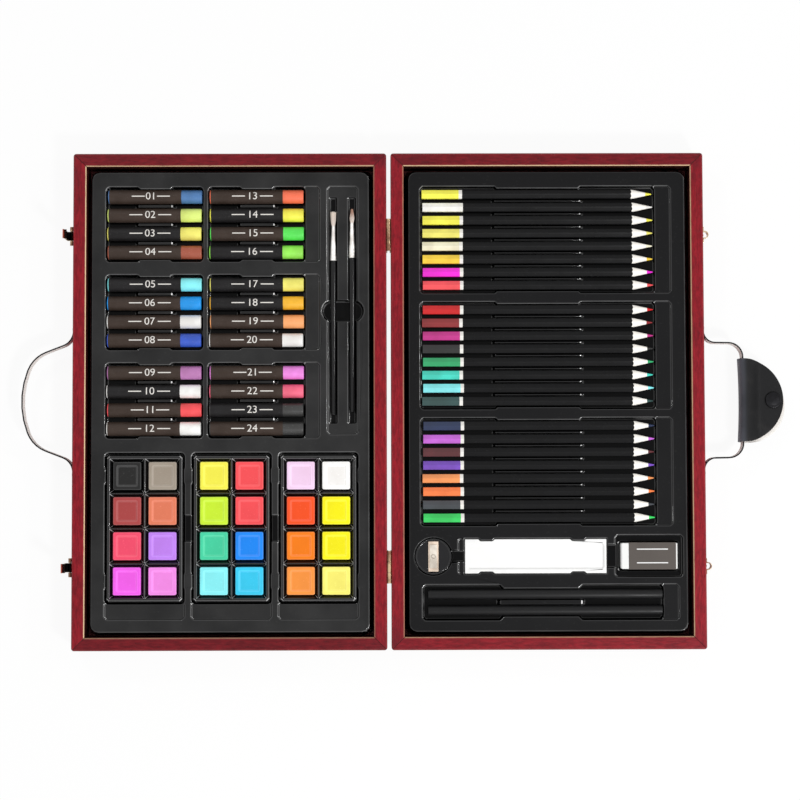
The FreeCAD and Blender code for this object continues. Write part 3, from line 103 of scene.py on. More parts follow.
# Corners nearer than this are one corner, and a turned end closes at this radius.
WELD = 0.01 * MM
CLOSED = 0.0001 * MM
# The material index that marks a rounded edge until the mask of rounded edges is kept, which
# carries both their wear and their painted glints.
BEND = 1
# How near two normals lie, as a cosine, for one to lean on the other; and what is no lean at all.
FLAT_NEAR = 0.82
BEND_NEAR = 0.68
NO_LEAN = 1e-12
# The way that the bends with the most painted glint face, towards the key lamp at the front right,
# how strong that painted glint is, and how fast it fades.
GLINT_TOWARDS = Vector((0.62, -0.62, 0.48))
GLINT_MOST = 0.5
GLINT_FADE = 6
# How aged the plating is on a latch's lip; its hollow, painted black as shadow, is 1.
LIP_AGED = 0.5
# Where along a hair the tuft is widest, and how high a figure is in its type size.
HAIR_WIDEST = 0.38
DIGIT_SHARE = 0.7
# Turns that stand a piece made along X upright, and point it to the rear.
UPRIGHT = (0.0, -math.pi / 2, 0.0)
TO_THE_REAR = (0.0, 0.0, math.pi / 2)
# Angles round a pencil, close together at its corners.
PENCIL_TURNS = [math.radians(60 * side + offset) for side in range(6)
                for offset in (0, 4, 12, 21, 30, 39, 48, 56)]


# ------------------------------------------------------------------ colours
def colour(red, green, blue):
    """A colour as it is written on a screen, in Blender's linear values."""
    def linear(part):
        part /= 255
        return part / 12.92 if part <= 0.04045 else ((part + 0.055) / 1.055) ** 2.4
    return (linear(red), linear(green), linear(blue), 1.0)


CRAYON_TONES = {
    "amber": (252, 190, 50),
    "apricot": (250, 170, 108),
    "azure": (28, 160, 250),
    "black": (32, 32, 32),
    "blue": (28, 140, 250),
    "bright green": (155, 245, 90),
    "brick": (176, 92, 70),
    "bubblegum": (250, 145, 240),
    "butter": (252, 244, 118),
    "charcoal": (58, 58, 58),
    "coral": (250, 84, 90),
    "cream": (252, 248, 220),
    "crimson": (208, 16, 20),
    "dark red": (140, 38, 42),
    "dark teal": (45, 78, 76),
    "deep violet": (122, 76, 196),
    "fuchsia": (250, 30, 228),
    "grass": (52, 212, 98),
    "leaf": (95, 244, 96),
    "lemon": (253, 248, 84),
    "light orange": (250, 158, 92),
    "lilac": (194, 128, 188),
    "lime": (208, 248, 55),
    "maroon": (92, 34, 40),
    "mid orange": (250, 128, 66),
    "navy": (28, 44, 80),
    "olive grey": (165, 154, 140),
    "orange": (250, 130, 20),
    "orchid": (204, 104, 222),
    "pale cyan": (140, 246, 252),
    "pale lime": (228, 248, 130),
    "pale pink": (250, 216, 248),
    "pink": (250, 100, 244),
    "plum": (198, 46, 140),
    "raspberry": (250, 82, 114),
    "rose": (250, 108, 138),
    "royal blue": (58, 95, 208),
    "russet": (174, 72, 72),
    "scarlet": (252, 86, 34),
    "sea green": (46, 174, 110),
    "sky blue": (58, 208, 248),
    "slate": (62, 66, 72),
    "steel blue": (80, 126, 182),
    "sunflower": (253, 214, 62),
    "tangerine": (250, 152, 66),
    "teal": (72, 216, 168),
    "terracotta": (234, 130, 98),
    "turquoise": (68, 218, 198),
    "vermilion": (250, 118, 84),
    "violet": (198, 136, 250),
    "white": (252, 252, 250),
    "yellow": (254, 246, 20),
}
CRAYON = {name: colour(*tone) for name, tone in CRAYON_TONES.items()}

# The crayons' colours in reading order, from the rear and from the left.
PASTEL_COLOURS = {
    "left": ("steel blue", "pale lime", "butter", "brick", "pale cyan", "azure",
             "white", "royal blue", "lilac", "white", "coral", "white"),
    "right": ("vermilion", "lemon", "leaf", "bright green", "butter", "amber",
              "apricot", "white", "bubblegum", "rose", "charcoal", "charcoal"),
}
PENCIL_COLOURS = {
    1: ("lemon", "white", "lemon", "butter", "cream", "sunflower", "fuchsia", "coral"),
    2: ("crimson", "dark red", "plum", "black", "sea green", "turquoise", "pale cyan", "dark teal"),
    3: ("navy", "orchid", "maroon", "deep violet", "light orange", "mid orange", "slate", "grass"),
}
CAKE_COLOURS = {
    1: ("black", "olive grey", "russet", "terracotta",
        "raspberry", "violet", "pink", "bubblegum"),
    2: ("lemon", "coral", "lime", "coral",
        "teal", "blue", "pale cyan", "sky blue"),
    3: ("pale pink", "white", "scarlet", "yellow",
        "orange", "yellow", "tangerine", "butter"),
}


def colour_property(name, description, red, green, blue):
    return bpy.props.FloatVectorProperty(
        name=name, description=description, subtype="COLOR", size=4, min=0, max=1,
        default=colour(red, green, blue))


def length_property(name, description, millimetres):
    return bpy.props.FloatProperty(
        name=name, description=description, subtype="DISTANCE", unit="LENGTH", min=0,
        default=millimetres * MM)


# ------------------------------------------------------------------ what a user would change
class ArtCaseWood(bpy.types.PropertyGroup):
    """The rails and boards."""

    light: colour_property("Light stain", "The stain between the grain", 152, 26, 38)
    dark: colour_property("Dark stain", "The stain in the grain", 118, 12, 26)
    bare: colour_property("Bare wood", "Wood that the stain missed along the rim", 240, 212, 168)
    # Painted shade: the rails' inner faces get a dark colour for the shade that falls on them.
    inside: colour_property("Inner wall", "The rails' inner faces", 34, 20, 16)
    board: colour_property("Board", "The boards under the trays", 118, 44, 46)
    bare_line: length_property("Bare line", "Width of the bare line along the rim", 0.7)
    soft_edge: length_property("Soft edge", "How far the rails' edges are rounded", 0.3)


class ArtCaseTray(bpy.types.PropertyGroup):
    """The formed trays."""

    sheet: colour_property("Sheet", "The trays' formed plastic sheet", 24, 24, 25)
    scuffed: colour_property("Scuffed sheet", "The base's deck where it is scuffed", 58, 58, 58)
    # Painted shade: the dark colour that the pockets take, for the shade that falls in them.
    pocket: colour_property("Pockets", "The sheet down in the pockets", 7, 7, 8)
    bend: length_property("Bend", "Radius of the sheet's bends", 0.85)


class ArtCaseMetal(bpy.types.PropertyGroup):
    """The brass latches, keepers and hinges."""

    brass: colour_property("Brass", "Latches, keepers and hinges", 206, 180, 144)
    tarnish: colour_property("Tarnish", "Brass in its corners", 104, 62, 50)
    copper: colour_property("Copper", "The latches' lips, where the plating is thin", 172, 90, 74)
    # Painted shadow: the black that the latches' hollows take.
    black: colour_property("Black", "The latches' hollows", 22, 18, 17)
    soft_edge: length_property("Soft edge", "How far the sheet brass is rounded", 0.14)
    nail_radius: length_property("Nail radius", "Heads of the small brass nails", 0.85)


class ArtCaseLeather(bpy.types.PropertyGroup):
    """The straps and the grip."""

    face: colour_property("Face", "The grip's and straps' black face", 11, 11, 13)
    edge: colour_property("Cut edge", "The leather's brown cut edge", 104, 62, 48)
    suede: colour_property("Suede", "The leather's pale back", 252, 249, 244)
    soft_edge: length_property("Soft edge", "How far the straps' edges are rounded", 0.45)
    sheet: length_property("Sheet", "Thickness of the grip's leather", 1.5)
    roll: length_property("Roll", "How far the grip's fold takes to round over", 4.2)
    peep: length_property("Peep", "How far the lower flap shows past the upper one", 5.0)
    snap: colour_property("Snap", "The snap's dark metal and the straps' rivets", 38, 38, 40)
    rivet_radius: length_property("Rivet radius", "Heads of the rivets in the straps", 2.4)


class ArtCasePastels(bpy.types.PropertyGroup):
    """The oil pastels and their sleeves."""

    sleeve: colour_property("Sleeve", "The paper sleeve", 32, 31, 32)
    sleeve_brown: colour_property("Brown sleeve", "The sleeve on the browner sticks", 64, 53, 47)
    print: colour_property("Print", "The numbers and lines on the sleeves", 236, 232, 226)
    sleeve_start: length_property("Sleeve start", "Bare stick before the sleeve", 0.8)
    sleeve_length: length_property("Sleeve length", "Length of the paper sleeve", 55.4)
    paper: length_property("Paper", "How far the sleeve stands out from the stick", 0.22)
    digit: length_property("Digit height", "Height of the numbers", 5.8)
    line: length_property("Line length", "Length of the line on each side of a number", 10.0)


class ArtCaseBrushes(bpy.types.PropertyGroup):
    """The two brushes."""

    lacquer: colour_property("Lacquer", "The handles", 20, 20, 21)
    ferrule: colour_property("Ferrule", "The metal tube that holds the hair", 246, 244, 241)
    hair: colour_property("Hair", "The round brush's brown tip", 190, 148, 128)
    flat_hair: colour_property("Flat hair", "The flat brush's pale tip", 252, 240, 228)
    hairs: bpy.props.IntProperty(
        name="Hairs", description="How many hairs a brush has", default=150, min=12, max=400)
    hair_length: length_property("Hair length", "How far the hair stands out", 11.0)
    swell: length_property("Swell", "Radius of the hair at its widest", 2.0)


class ArtCasePaints(bpy.types.PropertyGroup):
    """The paint boxes and their cakes."""

    box: colour_property("Box", "The paint boxes' moulded plastic", 16, 16, 17)
    box_edge: length_property("Box edge", "How far the boxes' edges are rounded", 0.5)
    cake_corner: length_property("Cake corner", "How far the cakes' corners are rounded", 1.6)


class ArtCasePencils(bpy.types.PropertyGroup):
    """The pencils of both kinds."""

    barrel: colour_property("Barrel", "The black lacquer", 20, 20, 21)
    ring: colour_property("Ring", "The painted ring", 246, 244, 238)
    wood: colour_property("Wood", "The sharpened wood", 254, 251, 245)
    charcoal: colour_property("Charcoal", "The sketching pencils' cores", 20, 20, 20)
    dip: length_property("Dip", "Length of the coloured end", 28.5)
    ring_width: length_property("Ring width", "Width of the painted ring", 2.6)
    lead: length_property("Lead", "Length of lead that shows", 4.8)
    scallop: bpy.props.FloatProperty(
        name="Scallop", description="How deep the lacquer's edge dips at the cut", default=0.3,
        min=0, max=1)


class ArtCaseTools(bpy.types.PropertyGroup):
    """The sharpener, palette and eraser."""

    sharpener: colour_property("Sharpener", "The sharpener's plastic", 24, 24, 26)
    block: colour_property("Block", "The sharpener's metal block", 212, 196, 180)
    blade: colour_property("Blade", "The sharpener's steel blade", 226, 218, 206)
    palette: colour_property("Palette", "The mixing palette", 248, 248, 247)
    rubber: colour_property("Rubber", "The eraser", 240, 240, 238)
    card: colour_property("Card", "The eraser's card sleeve", 82, 75, 70)
    soft_edge: length_property("Soft edge", "How far the palette and eraser are rounded", 0.5)


class ArtCaseStage(bpy.types.PropertyGroup):
    """The floor, lamps and camera."""

    floor: colour_property("Floor", "The floor under the case", 246, 246, 246)
    camera_place: bpy.props.FloatVectorProperty(
        name="Camera", description="Where the camera stands", subtype="TRANSLATION",
        unit="LENGTH", default=(0.1209, -0.0695, 1.5))
    camera_turn: bpy.props.FloatVectorProperty(
        name="Camera turn", description="How the camera leans from straight down",
        subtype="EULER", unit="ROTATION",
        default=(math.radians(2.71), math.radians(-0.35), math.radians(-0.157)))
    lens: bpy.props.FloatProperty(
        name="Lens", description="Focal length in millimetres", default=86.91, min=1)
    key: bpy.props.FloatProperty(
        name="Key lamp", description="Power of the large lamp", subtype="POWER",
        unit="POWER", default=18)
    side: bpy.props.FloatProperty(
        name="Side lamp", description="Power of the small lamp beside the lid",
        subtype="POWER", unit="POWER", default=5)
    world: bpy.props.FloatProperty(
        name="World", description="Strength of the light from all round", default=0.5, min=0)


# ------------------------------------------------------------------ building node trees
def once(build):
    """Keeps each material or group that a function makes, by its arguments."""
    kept = {}

    def kept_or_built(*given):
        if given not in kept:
            kept[given] = build(*given)
        return kept[given]
    return kept_or_built


class Wiring:
    """Adds nodes to a tree and joins them by the names of their sockets."""

    def __init__(self, tree):
        self.tree = tree

    def feed(self, socket, value):
        if isinstance(value, bpy.types.NodeSocket):
            self.tree.links.new(value, socket)
        elif value is not None:
            socket.default_value = value

    def add(self, kind, sockets=None, **settings):
        node = self.tree.nodes.new(kind)
        for name, value in settings.items():
            setattr(node, name, value)
        for name, value in (sockets or {}).items():
            self.feed(node.inputs[name], value)
        return node

    def maths(self, operation, first, second=None, clamp=False):
        node = self.add("ShaderNodeMath", operation=operation, use_clamp=clamp)
        self.feed(node.inputs[0], first)
        self.feed(node.inputs[1], second)
        return node.outputs[0]

    def plus(self, first, second):
        return self.maths("ADD", first, second)

    def minus(self, first, second):
        return self.maths("SUBTRACT", first, second)

    def times(self, first, second):
        return self.maths("MULTIPLY", first, second)

    def vector_maths(self, operation, first, second=None):
        node = self.add("ShaderNodeVectorMath", operation=operation)
        self.feed(node.inputs[0], first)
        self.feed(node.inputs[1], second)
        return node.outputs[0]

    def ramp(self, value, start, end, low=0.0, high=1.0):
        """Low before start, high after end, and smooth between them."""
        node = self.add("ShaderNodeMapRange", interpolation_type="SMOOTHSTEP", clamp=True)
        for name, number in (("Value", value), ("From Min", start), ("From Max", end),
                             ("To Min", low), ("To Max", high)):
            self.feed(node.inputs[name], number)
        return node.outputs[0]

    def mix(self, share, first, second, how="MIX"):
        node = self.add("ShaderNodeMix", data_type="RGBA", blend_type=how)
        self.feed(node.inputs[0], share)
        self.feed(node.inputs[6], first)
        self.feed(node.inputs[7], second)
        return node.outputs[2]

    def shaded(self, tint, by):
        """A colour multiplied by another one."""
        return self.mix(1.0, tint, by, "MULTIPLY")

    def noise(self, vector, scale, detail=2.0, rough=0.5):
        node = self.add("ShaderNodeTexNoise", {
            "Vector": vector, "Scale": scale, "Detail": detail, "Roughness": rough})
        return node.outputs["Fac"]


FLOAT = "NodeSocketFloat"
VECTOR = "NodeSocketVector"
GEOMETRY = "NodeSocketGeometry"


def new_group(name, kind, inputs, outputs):
    """An empty group with named sockets, its wiring, and its input and output nodes."""
    tree = bpy.data.node_groups.new(name, kind)
    for title, socket_type, value in inputs:
        socket = tree.interface.new_socket(name=title, in_out="INPUT", socket_type=socket_type)
        if value is not None:
            socket.default_value = value
    for title, socket_type in outputs:
        tree.interface.new_socket(name=title, in_out="OUTPUT", socket_type=socket_type)
    wiring = Wiring(tree)
    return wiring, wiring.add("NodeGroupInput").outputs, wiring.add("NodeGroupOutput").inputs


@once
def grain_group():
    """Wood grain that runs along X: streaks, blotches of stain, and pores."""
    wiring, given, made = new_group(
        "Wood grain", "ShaderNodeTree",
        [("Vector", VECTOR, None), ("Stretch", FLOAT, 8.0), ("Fineness", FLOAT, 700.0)],
        [("Streaks", FLOAT), ("Blotches", FLOAT), ("Pores", FLOAT)])
    squeeze = wiring.add("ShaderNodeCombineXYZ", {"Y": 1.0, "Z": 1.0})
    wiring.feed(squeeze.inputs["X"], wiring.maths("DIVIDE", 1.0, given["Stretch"]))
    along = wiring.vector_maths("MULTIPLY", given["Vector"], squeeze.outputs[0])
    fine = given["Fineness"]
    streaks = wiring.noise(along, fine, 5.0, 0.65)
    blotches = wiring.noise(given["Vector"], wiring.times(fine, 0.05), 4.0, 0.6)
    pores = wiring.noise(along, wiring.times(fine, 3.2), 1.0, 0.5)
    wiring.feed(made["Streaks"], wiring.ramp(streaks, 0.32, 0.68))
    wiring.feed(made["Blotches"], wiring.ramp(blotches, 0.42, 0.72))
    wiring.feed(made["Pores"], wiring.ramp(pores, 0.58, 0.72))
    return wiring.tree


@once
def rim_group():
    """Where a point lies on a half's frame: bare line, mitre joint, inner wall and corner."""
    wiring, given, made = new_group(
        "Case rim", "ShaderNodeTree",
        [("Vector", VECTOR, None), ("Inner Width", FLOAT, 0.11), ("Inner Length", FLOAT, 0.18),
         ("Rim", FLOAT, 0.027), ("Line", FLOAT, 0.001)],
        [("Bare", FLOAT), ("Mitre", FLOAT), ("Inside", FLOAT), ("Corner", FLOAT)])
    place = wiring.add("ShaderNodeSeparateXYZ", {"Vector": given["Vector"]}).outputs
    across = wiring.minus(wiring.maths("ABSOLUTE", place["X"]), given["Inner Width"])
    ahead = wiring.minus(wiring.maths("ABSOLUTE", place["Y"]), given["Inner Length"])
    reach = wiring.maths("MAXIMUM", across, ahead)
    ragged = wiring.noise(given["Vector"], 160.0, 3.0, 0.6)
    line = wiring.times(given["Line"], wiring.ramp(ragged, 0.25, 0.6, 0.88, 1.08))
    near = wiring.ramp(wiring.minus(reach, line), -0.0001, 0.0001, 1.0, 0.0)
    depth = wiring.minus(given["Rim"], place["Z"])
    high = wiring.ramp(wiring.minus(depth, given["Line"]), 0.0, 0.0004, 1.0, 0.0)
    wiring.feed(made["Bare"], wiring.times(near, high))
    gap = wiring.maths("ABSOLUTE", wiring.minus(across, ahead))
    both = wiring.ramp(wiring.maths("MINIMUM", across, ahead), -0.0004, 0.0)
    wiring.feed(made["Mitre"], wiring.times(wiring.ramp(gap, 0.0001, 0.0005, 1.0, 0.0), both))
    # The inner wall below the bare line, which the rails darken with painted shade.
    wall = wiring.ramp(reach, 0.00005, 0.0002, 1.0, 0.0)
    wiring.feed(made["Inside"], wiring.times(wall, wiring.ramp(depth, 0.0009, 0.0014)))
    wiring.feed(made["Corner"], wiring.ramp(wiring.plus(across, ahead), -0.02, 0.014))
    return wiring.tree


@once
def skin_group():
    """The faint unevenness of a moulded or formed skin."""
    wiring, given, made = new_group(
        "Moulded skin", "ShaderNodeTree",
        [("Vector", VECTOR, None), ("Size", FLOAT, 400.0)],
        [("Mottle", FLOAT), ("Grain", FLOAT), ("Specks", FLOAT)])
    place, size = given["Vector"], given["Size"]
    wiring.feed(made["Mottle"], wiring.noise(place, wiring.times(size, 0.12), 3.0, 0.55))
    wiring.feed(made["Grain"], wiring.noise(place, wiring.times(size, 6.0), 2.0, 0.5))
    specks = wiring.noise(place, wiring.times(size, 2.5), 0.0, 0.0)
    wiring.feed(made["Specks"], wiring.ramp(specks, 0.74, 0.8))
    return wiring.tree


class Finish:
    """A material under way: its wiring, its Principled shader, and its usual inputs."""

    def __init__(self, name, **constants):
        self.material = bpy.data.materials.new(name)
        self.material.use_nodes = True
        tree = self.material.node_tree
        self.wiring = Wiring(tree)
        self.shader = tree.nodes["Principled BSDF"]
        for title, value in constants.items():
            self.shader.inputs[title.replace("_", " ")].default_value = value
        self.place = self.wiring.add("ShaderNodeTexCoord").outputs["Object"]

    def group(self, tree, **values):
        node = self.wiring.add("ShaderNodeGroup", node_tree=tree)
        for title, value in values.items():
            self.wiring.feed(node.inputs[title.replace("_", " ")], value)
        return node.outputs

    def skin(self, size):
        """The mottle, grain and specks of a moulded skin, finer where size is greater."""
        return self.group(skin_group(), Vector=self.place, Size=size)

    def moved(self, shift, turn=0.0):
        """The object's own coordinates, turned about Z and then moved."""
        node = self.wiring.add("ShaderNodeMapping", {
            "Vector": self.place, "Location": shift, "Rotation": (0.0, 0.0, turn)})
        return node.outputs[0]

    def attribute(self, name, output="Fac"):
        return self.wiring.add("ShaderNodeAttribute", attribute_name=name).outputs[output]

    def set(self, title, value):
        self.wiring.feed(self.shader.inputs[title], value)

    def set_rough(self, skin, low, high):
        """A roughness that goes from low to high with the skin's mottle."""
        self.set("Roughness", self.wiring.ramp(skin["Mottle"], 0.3, 0.7, low, high))

    def bump(self, height, distance, strength=1.0):
        node = self.wiring.add("ShaderNodeBump", {
            "Height": height, "Distance": distance, "Strength": strength})
        self.set("Normal", node.outputs[0])


# ------------------------------------------------------------------ materials
WHITE = (1.0, 1.0, 1.0, 1.0)
# The pale grey of the painted glints on bends.
GLINT_PALE = (0.92, 0.92, 0.92, 1.0)
STAIN_BLOTCH = (0.5, 0.42, 0.5, 1.0)
STAIN_PORE = (0.03, 0.004, 0.006, 1.0)
STAIN_CORNER = (0.07, 0.008, 0.016, 1.0)
STAIN_WORN = (0.5, 0.14, 0.12, 1.0)
STAIN_JOINT = (0.03, 0.004, 0.008, 1.0)
BARE_PORE = (0.55, 0.3, 0.14, 1.0)
BOARD_GRAIN = (0.10, 0.016, 0.02, 1.0)
BOARD_BLOTCH = (0.06, 0.01, 0.012, 1.0)
CEDAR_GRAIN = (0.74, 0.55, 0.38, 1.0)
# The bluish grey of the painted highlight along the grip's fold.
FOLD_HIGHLIGHT_GREY = (0.15, 0.16, 0.19, 1.0)
HAIR_ROOT = (0.93, 0.84, 0.77, 1.0)
HAIR_STREAK = (0.34, 0.2, 0.14, 1.0)

# How strongly the bare line shows on each rail, and how dark each rail is.
BARE_LINES = {
    "base_rear": 0.7, "base_front": 0.35, "base_left": 1.0, "base_right": 0.3,
    "lid_rear": 0.8, "lid_front": 0.5, "lid_left": 0.3, "lid_right": 0.7,
}
RAIL_TONES = {
    "base_rear": 0.66, "base_front": 0.58, "base_left": 0.98, "base_right": 1.0,
    "lid_rear": 0.62, "lid_front": 0.82, "lid_left": 0.97, "lid_right": 0.95,
}


def grey(level):
    return (level, level, level, 1.0)


@once
def stained_wood(half, side):
    """Red mahogany stain on a rail, with its grain along the rail."""
    look = bpy.context.scene.art_case_wood
    rail = f"{half}_{side}"
    finish = Finish(f"stained_wood_{rail}", Specular_IOR_Level=0.14, Coat_Weight=0.08,
                    Coat_Roughness=0.3)
    wiring = finish.wiring
    turn = math.pi / 2 if side in ("left", "right") else 0.0
    number = SIDES.index(side) + (len(SIDES) if half == "lid" else 0)
    grain = finish.group(grain_group(), Vector=finish.moved((0.37 * number, 0.11, 0.0), turn),
                         Stretch=4.5, Fineness=620.0)
    rim = finish.group(rim_group(), Vector=finish.moved((-CENTRE_X[half], 0.0, 0.0)),
                       Inner_Width=HALF_WIDTH - RAIL, Inner_Length=HALF_LENGTH - RAIL, Rim=RIM,
                       Line=look.bare_line)
    tone = RAIL_TONES[rail]
    stain = wiring.mix(grain["Streaks"], tuple(look.dark), tuple(look.light))
    dim = wiring.mix(wiring.times(grain["Blotches"], 0.55), stain,
                     wiring.shaded(stain, STAIN_BLOTCH))
    dim = wiring.mix(wiring.times(grain["Pores"], 0.34), dim, STAIN_PORE)
    dim = wiring.shaded(dim, (tone, tone ** 0.5, tone ** 0.7, 1.0))
    dark = wiring.times(rim["Corner"], wiring.ramp(grain["Blotches"], 0.0, 0.6, 0.2, 0.7))
    dim = wiring.mix(wiring.times(dark, 0.5), dim, STAIN_CORNER)
    dim = wiring.mix(wiring.times(finish.attribute("wear"), 0.22), dim, STAIN_WORN)
    # Painted shade: the rails' inner walls go nearly to the inner wall colour.
    dim = wiring.mix(wiring.times(rim["Inside"], 0.92), dim, tuple(look.inside))
    pale = wiring.mix(wiring.times(grain["Pores"], 0.3), tuple(look.bare), BARE_PORE)
    dim = wiring.mix(wiring.times(rim["Bare"], BARE_LINES[rail]), dim, pale)
    dim = wiring.mix(wiring.times(rim["Mitre"], 0.75), dim, STAIN_JOINT)
    finish.set("Base Color", dim)
    finish.set("Roughness", wiring.ramp(grain["Streaks"], 0.0, 1.0, 0.46, 0.36))
    hollow = wiring.plus(grain["Pores"], wiring.times(rim["Mitre"], 3.0))
    finish.bump(wiring.minus(grain["Streaks"], hollow), 0.00006)
    return finish.material


@once
def board():
    """The thin stained boards under the trays."""
    finish = Finish("panel_board", Specular_IOR_Level=0.3)
    wiring = finish.wiring
    grain = finish.group(grain_group(), Vector=finish.moved((0.0, 0.0, 0.0), math.pi / 2),
                         Stretch=14.0, Fineness=420.0)
    tint = wiring.mix(grain["Streaks"], BOARD_GRAIN, look_colour("wood", "board"))
    tint = wiring.mix(wiring.times(grain["Blotches"], 0.4), tint, BOARD_BLOTCH)
    finish.set("Base Color", tint)
    finish.set("Roughness", wiring.ramp(grain["Pores"], 0.0, 1.0, 0.5, 0.7))
    finish.bump(grain["Streaks"], 0.00008)
    return finish.material


@once
def tray_sheet(half):
    """Black sheet: a scuffed deck, glossy pockets darkened with painted shade, a coat along the
    bends, and painted glints on the bends that face the key lamp.
    """
    look = bpy.context.scene.art_case_tray
    finish = Finish("tray_plastic_" + half, Specular_IOR_Level=0.08, Coat_Roughness=0.06,
                    Coat_IOR=1.75)
    wiring = finish.wiring
    skin = finish.skin(260.0)
    deep = finish.attribute("deep")
    scuffed = look.scuffed if half == "base" else look.sheet
    deck = wiring.mix(skin["Mottle"], tuple(look.sheet), tuple(scuffed))
    deck = wiring.mix(wiring.times(skin["Specks"], 0.06), deck, grey(0.12))
    # Painted shade: the pockets and their walls take the dark pocket colour.
    bare = wiring.mix(deep, deck, tuple(look.pocket))
    # Painted glint: pale grey on the bends that face the key lamp, broken up by the mottle.
    rub = wiring.times(finish.attribute("rub"), wiring.ramp(skin["Mottle"], 0.3, 0.6, 0.5, 1.0))
    finish.set("Base Color", wiring.mix(rub, bare, GLINT_PALE))
    worn = wiring.ramp(skin["Mottle"], 0.3, 0.7, 0.34, 0.44)
    finish.set("Roughness", wiring.mix(deep, worn, grey(0.2)))
    finish.set("Coat Weight", wiring.times(finish.attribute("wear"), 0.45))
    finish.bump(skin["Grain"], 0.00001, 0.6)
    return finish.material


@once
def brass():
    """Plated brass with tarnish, fine brushing, brighter worn edges, and painted shadow in the
    latches' hollows.
    """
    look = bpy.context.scene.art_case_metal
    finish = Finish("brass", Metallic=1.0)
    wiring = finish.wiring
    skin = finish.skin(620.0)
    dull = wiring.times(wiring.ramp(skin["Mottle"], 0.38, 0.58), 0.85)
    worn = wiring.minus(1.0, wiring.times(finish.attribute("wear"), 0.6))
    tint = wiring.mix(wiring.times(dull, worn), tuple(look.brass), tuple(look.tarnish))
    aged = finish.attribute("aged")
    tint = wiring.mix(wiring.ramp(aged, 0.0, LIP_AGED), tint, tuple(look.copper))
    # Painted shadow: the latches' hollows go black.
    tint = wiring.mix(wiring.ramp(aged, LIP_AGED, 1.0), tint, tuple(look.black))
    finish.set("Base Color", tint)
    finish.set_rough(skin, 0.2, 0.42)
    finish.bump(skin["Grain"], 0.00001)
    return finish.material


@once
def paint_cake():
    """Pressed paint: speckled, with a painted highlight on its rounded rim and painted shade down
    in its dish.
    """
    finish = Finish("paint_cake", Specular_IOR_Level=0.2)
    wiring = finish.wiring
    tint = finish.attribute("tint", "Color")
    skin = finish.skin(420.0)
    deep = wiring.shaded(tint, (0.84, 0.80, 0.78, 1.0))
    dim = wiring.mix(wiring.ramp(skin["Mottle"], 0.35, 0.65), wiring.mix(0.5, tint, deep), tint)
    # Painted shade: darker down in the dish.
    dim = wiring.mix(wiring.times(finish.attribute("dish"), 0.4), dim, deep)
    pale = wiring.mix(0.3, wiring.shaded(tint, grey(1.4)), wiring.mix(0.5, tint, WHITE))
    # Painted highlight: paler on the rounded rim, together with the specks.
    rim = wiring.times(finish.attribute("wear"), 0.3)
    dim = wiring.mix(wiring.plus(wiring.times(skin["Specks"], 0.2), rim), dim, pale)
    finish.set("Base Color", dim)
    finish.set_rough(skin, 0.5, 0.7)
    finish.bump(wiring.plus(skin["Grain"], skin["Mottle"]), 0.00009)
    return finish.material


@once
def sharpened_wood():
    """Pale cedar cut across its grain, with faint streaks."""
    finish = Finish("sharpened_wood", Specular_IOR_Level=0.25)
    wiring = finish.wiring
    grain = finish.group(grain_group(), Vector=finish.place, Stretch=9.0, Fineness=1500.0)
    finish.set("Base Color", wiring.mix(wiring.times(grain["Streaks"], 0.08),
                                        look_colour("pencils", "wood"), CEDAR_GRAIN))
    finish.set("Roughness", wiring.ramp(grain["Streaks"], 0.0, 1.0, 0.6, 0.75))
    finish.bump(grain["Streaks"], 0.00003)
    return finish.material


@once
def brush_hair(number):
    """Hair that is pale by the ferrule, browner at the round brush's tip, varied hair by hair."""
    look = bpy.context.scene.art_case_brushes
    tip, streak = (look.flat_hair, 0.1) if number == FLAT_BRUSH else (look.hair, 0.24)
    finish = Finish(f"brush_hair_{number}", Specular_IOR_Level=0.35)
    wiring = finish.wiring
    tint = wiring.mix(wiring.ramp(finish.attribute("along"), 0.25, 0.9), HAIR_ROOT, tuple(tip))
    tint = wiring.mix(wiring.times(finish.attribute("shade"), streak), tint, HAIR_STREAK)
    finish.set("Base Color", tint)
    finish.set_rough(finish.skin(900.0), 0.4, 0.6)
    return finish.material


@once
def sleeve_card():
    """The eraser's printed card: grey, with a soft sheen and two plain white lines."""
    finish = Finish("sleeve_card", Specular_IOR_Level=0.35)
    wiring = finish.wiring
    card = look_colour("tools", "card")
    skin = finish.skin(600.0)
    across, ahead, _ = middle_of(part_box("eraser_sleeve"))
    spot = wiring.add("ShaderNodeSeparateXYZ", {
        "Vector": finish.moved((-across, -ahead, 0.0))}).outputs
    off = wiring.maths("ABSOLUTE", wiring.minus(wiring.maths("ABSOLUTE", spot["Y"]), 0.0052))
    line = wiring.ramp(off, 0.0003, 0.0005, 1.0, 0.0)
    within = wiring.ramp(wiring.maths("ABSOLUTE", spot["X"]), 0.0118, 0.012, 1.0, 0.0)
    bare = wiring.mix(skin["Mottle"], wiring.shaded(card, grey(0.8)), card)
    finish.set("Base Color", wiring.mix(wiring.times(line, within), bare, grey(0.82)))
    finish.set_rough(skin, 0.4, 0.55)
    finish.bump(skin["Grain"], 0.00001)
    return finish.material


def moulded(name, tint, rough, size, depth=0.00001, specular=0.5, shine=0.0):
    """A moulded or formed plastic: faint mottle, a fine skin, glossier edges, and painted glints on
    the bends of a piece that holds them.
    """
    finish = Finish(name, Specular_IOR_Level=specular, Coat_Roughness=0.06)
    wiring = finish.wiring
    if shine:
        finish.set("Coat Weight", wiring.times(finish.attribute("wear"), shine))
    skin = finish.skin(size)
    dim = wiring.mix(skin["Mottle"], wiring.shaded(tint, grey(0.86)), tint)
    dim = wiring.mix(wiring.times(skin["Specks"], 0.05), dim, wiring.mix(0.5, tint, grey(0.5)))
    # Painted glint: pale grey on the bends, where the piece holds one.
    finish.set("Base Color", wiring.mix(finish.attribute("rub"), dim, GLINT_PALE))
    finish.set_rough(skin, rough * 0.85, rough * 1.15)
    finish.bump(skin["Grain"], depth, 0.6)
    return finish.material


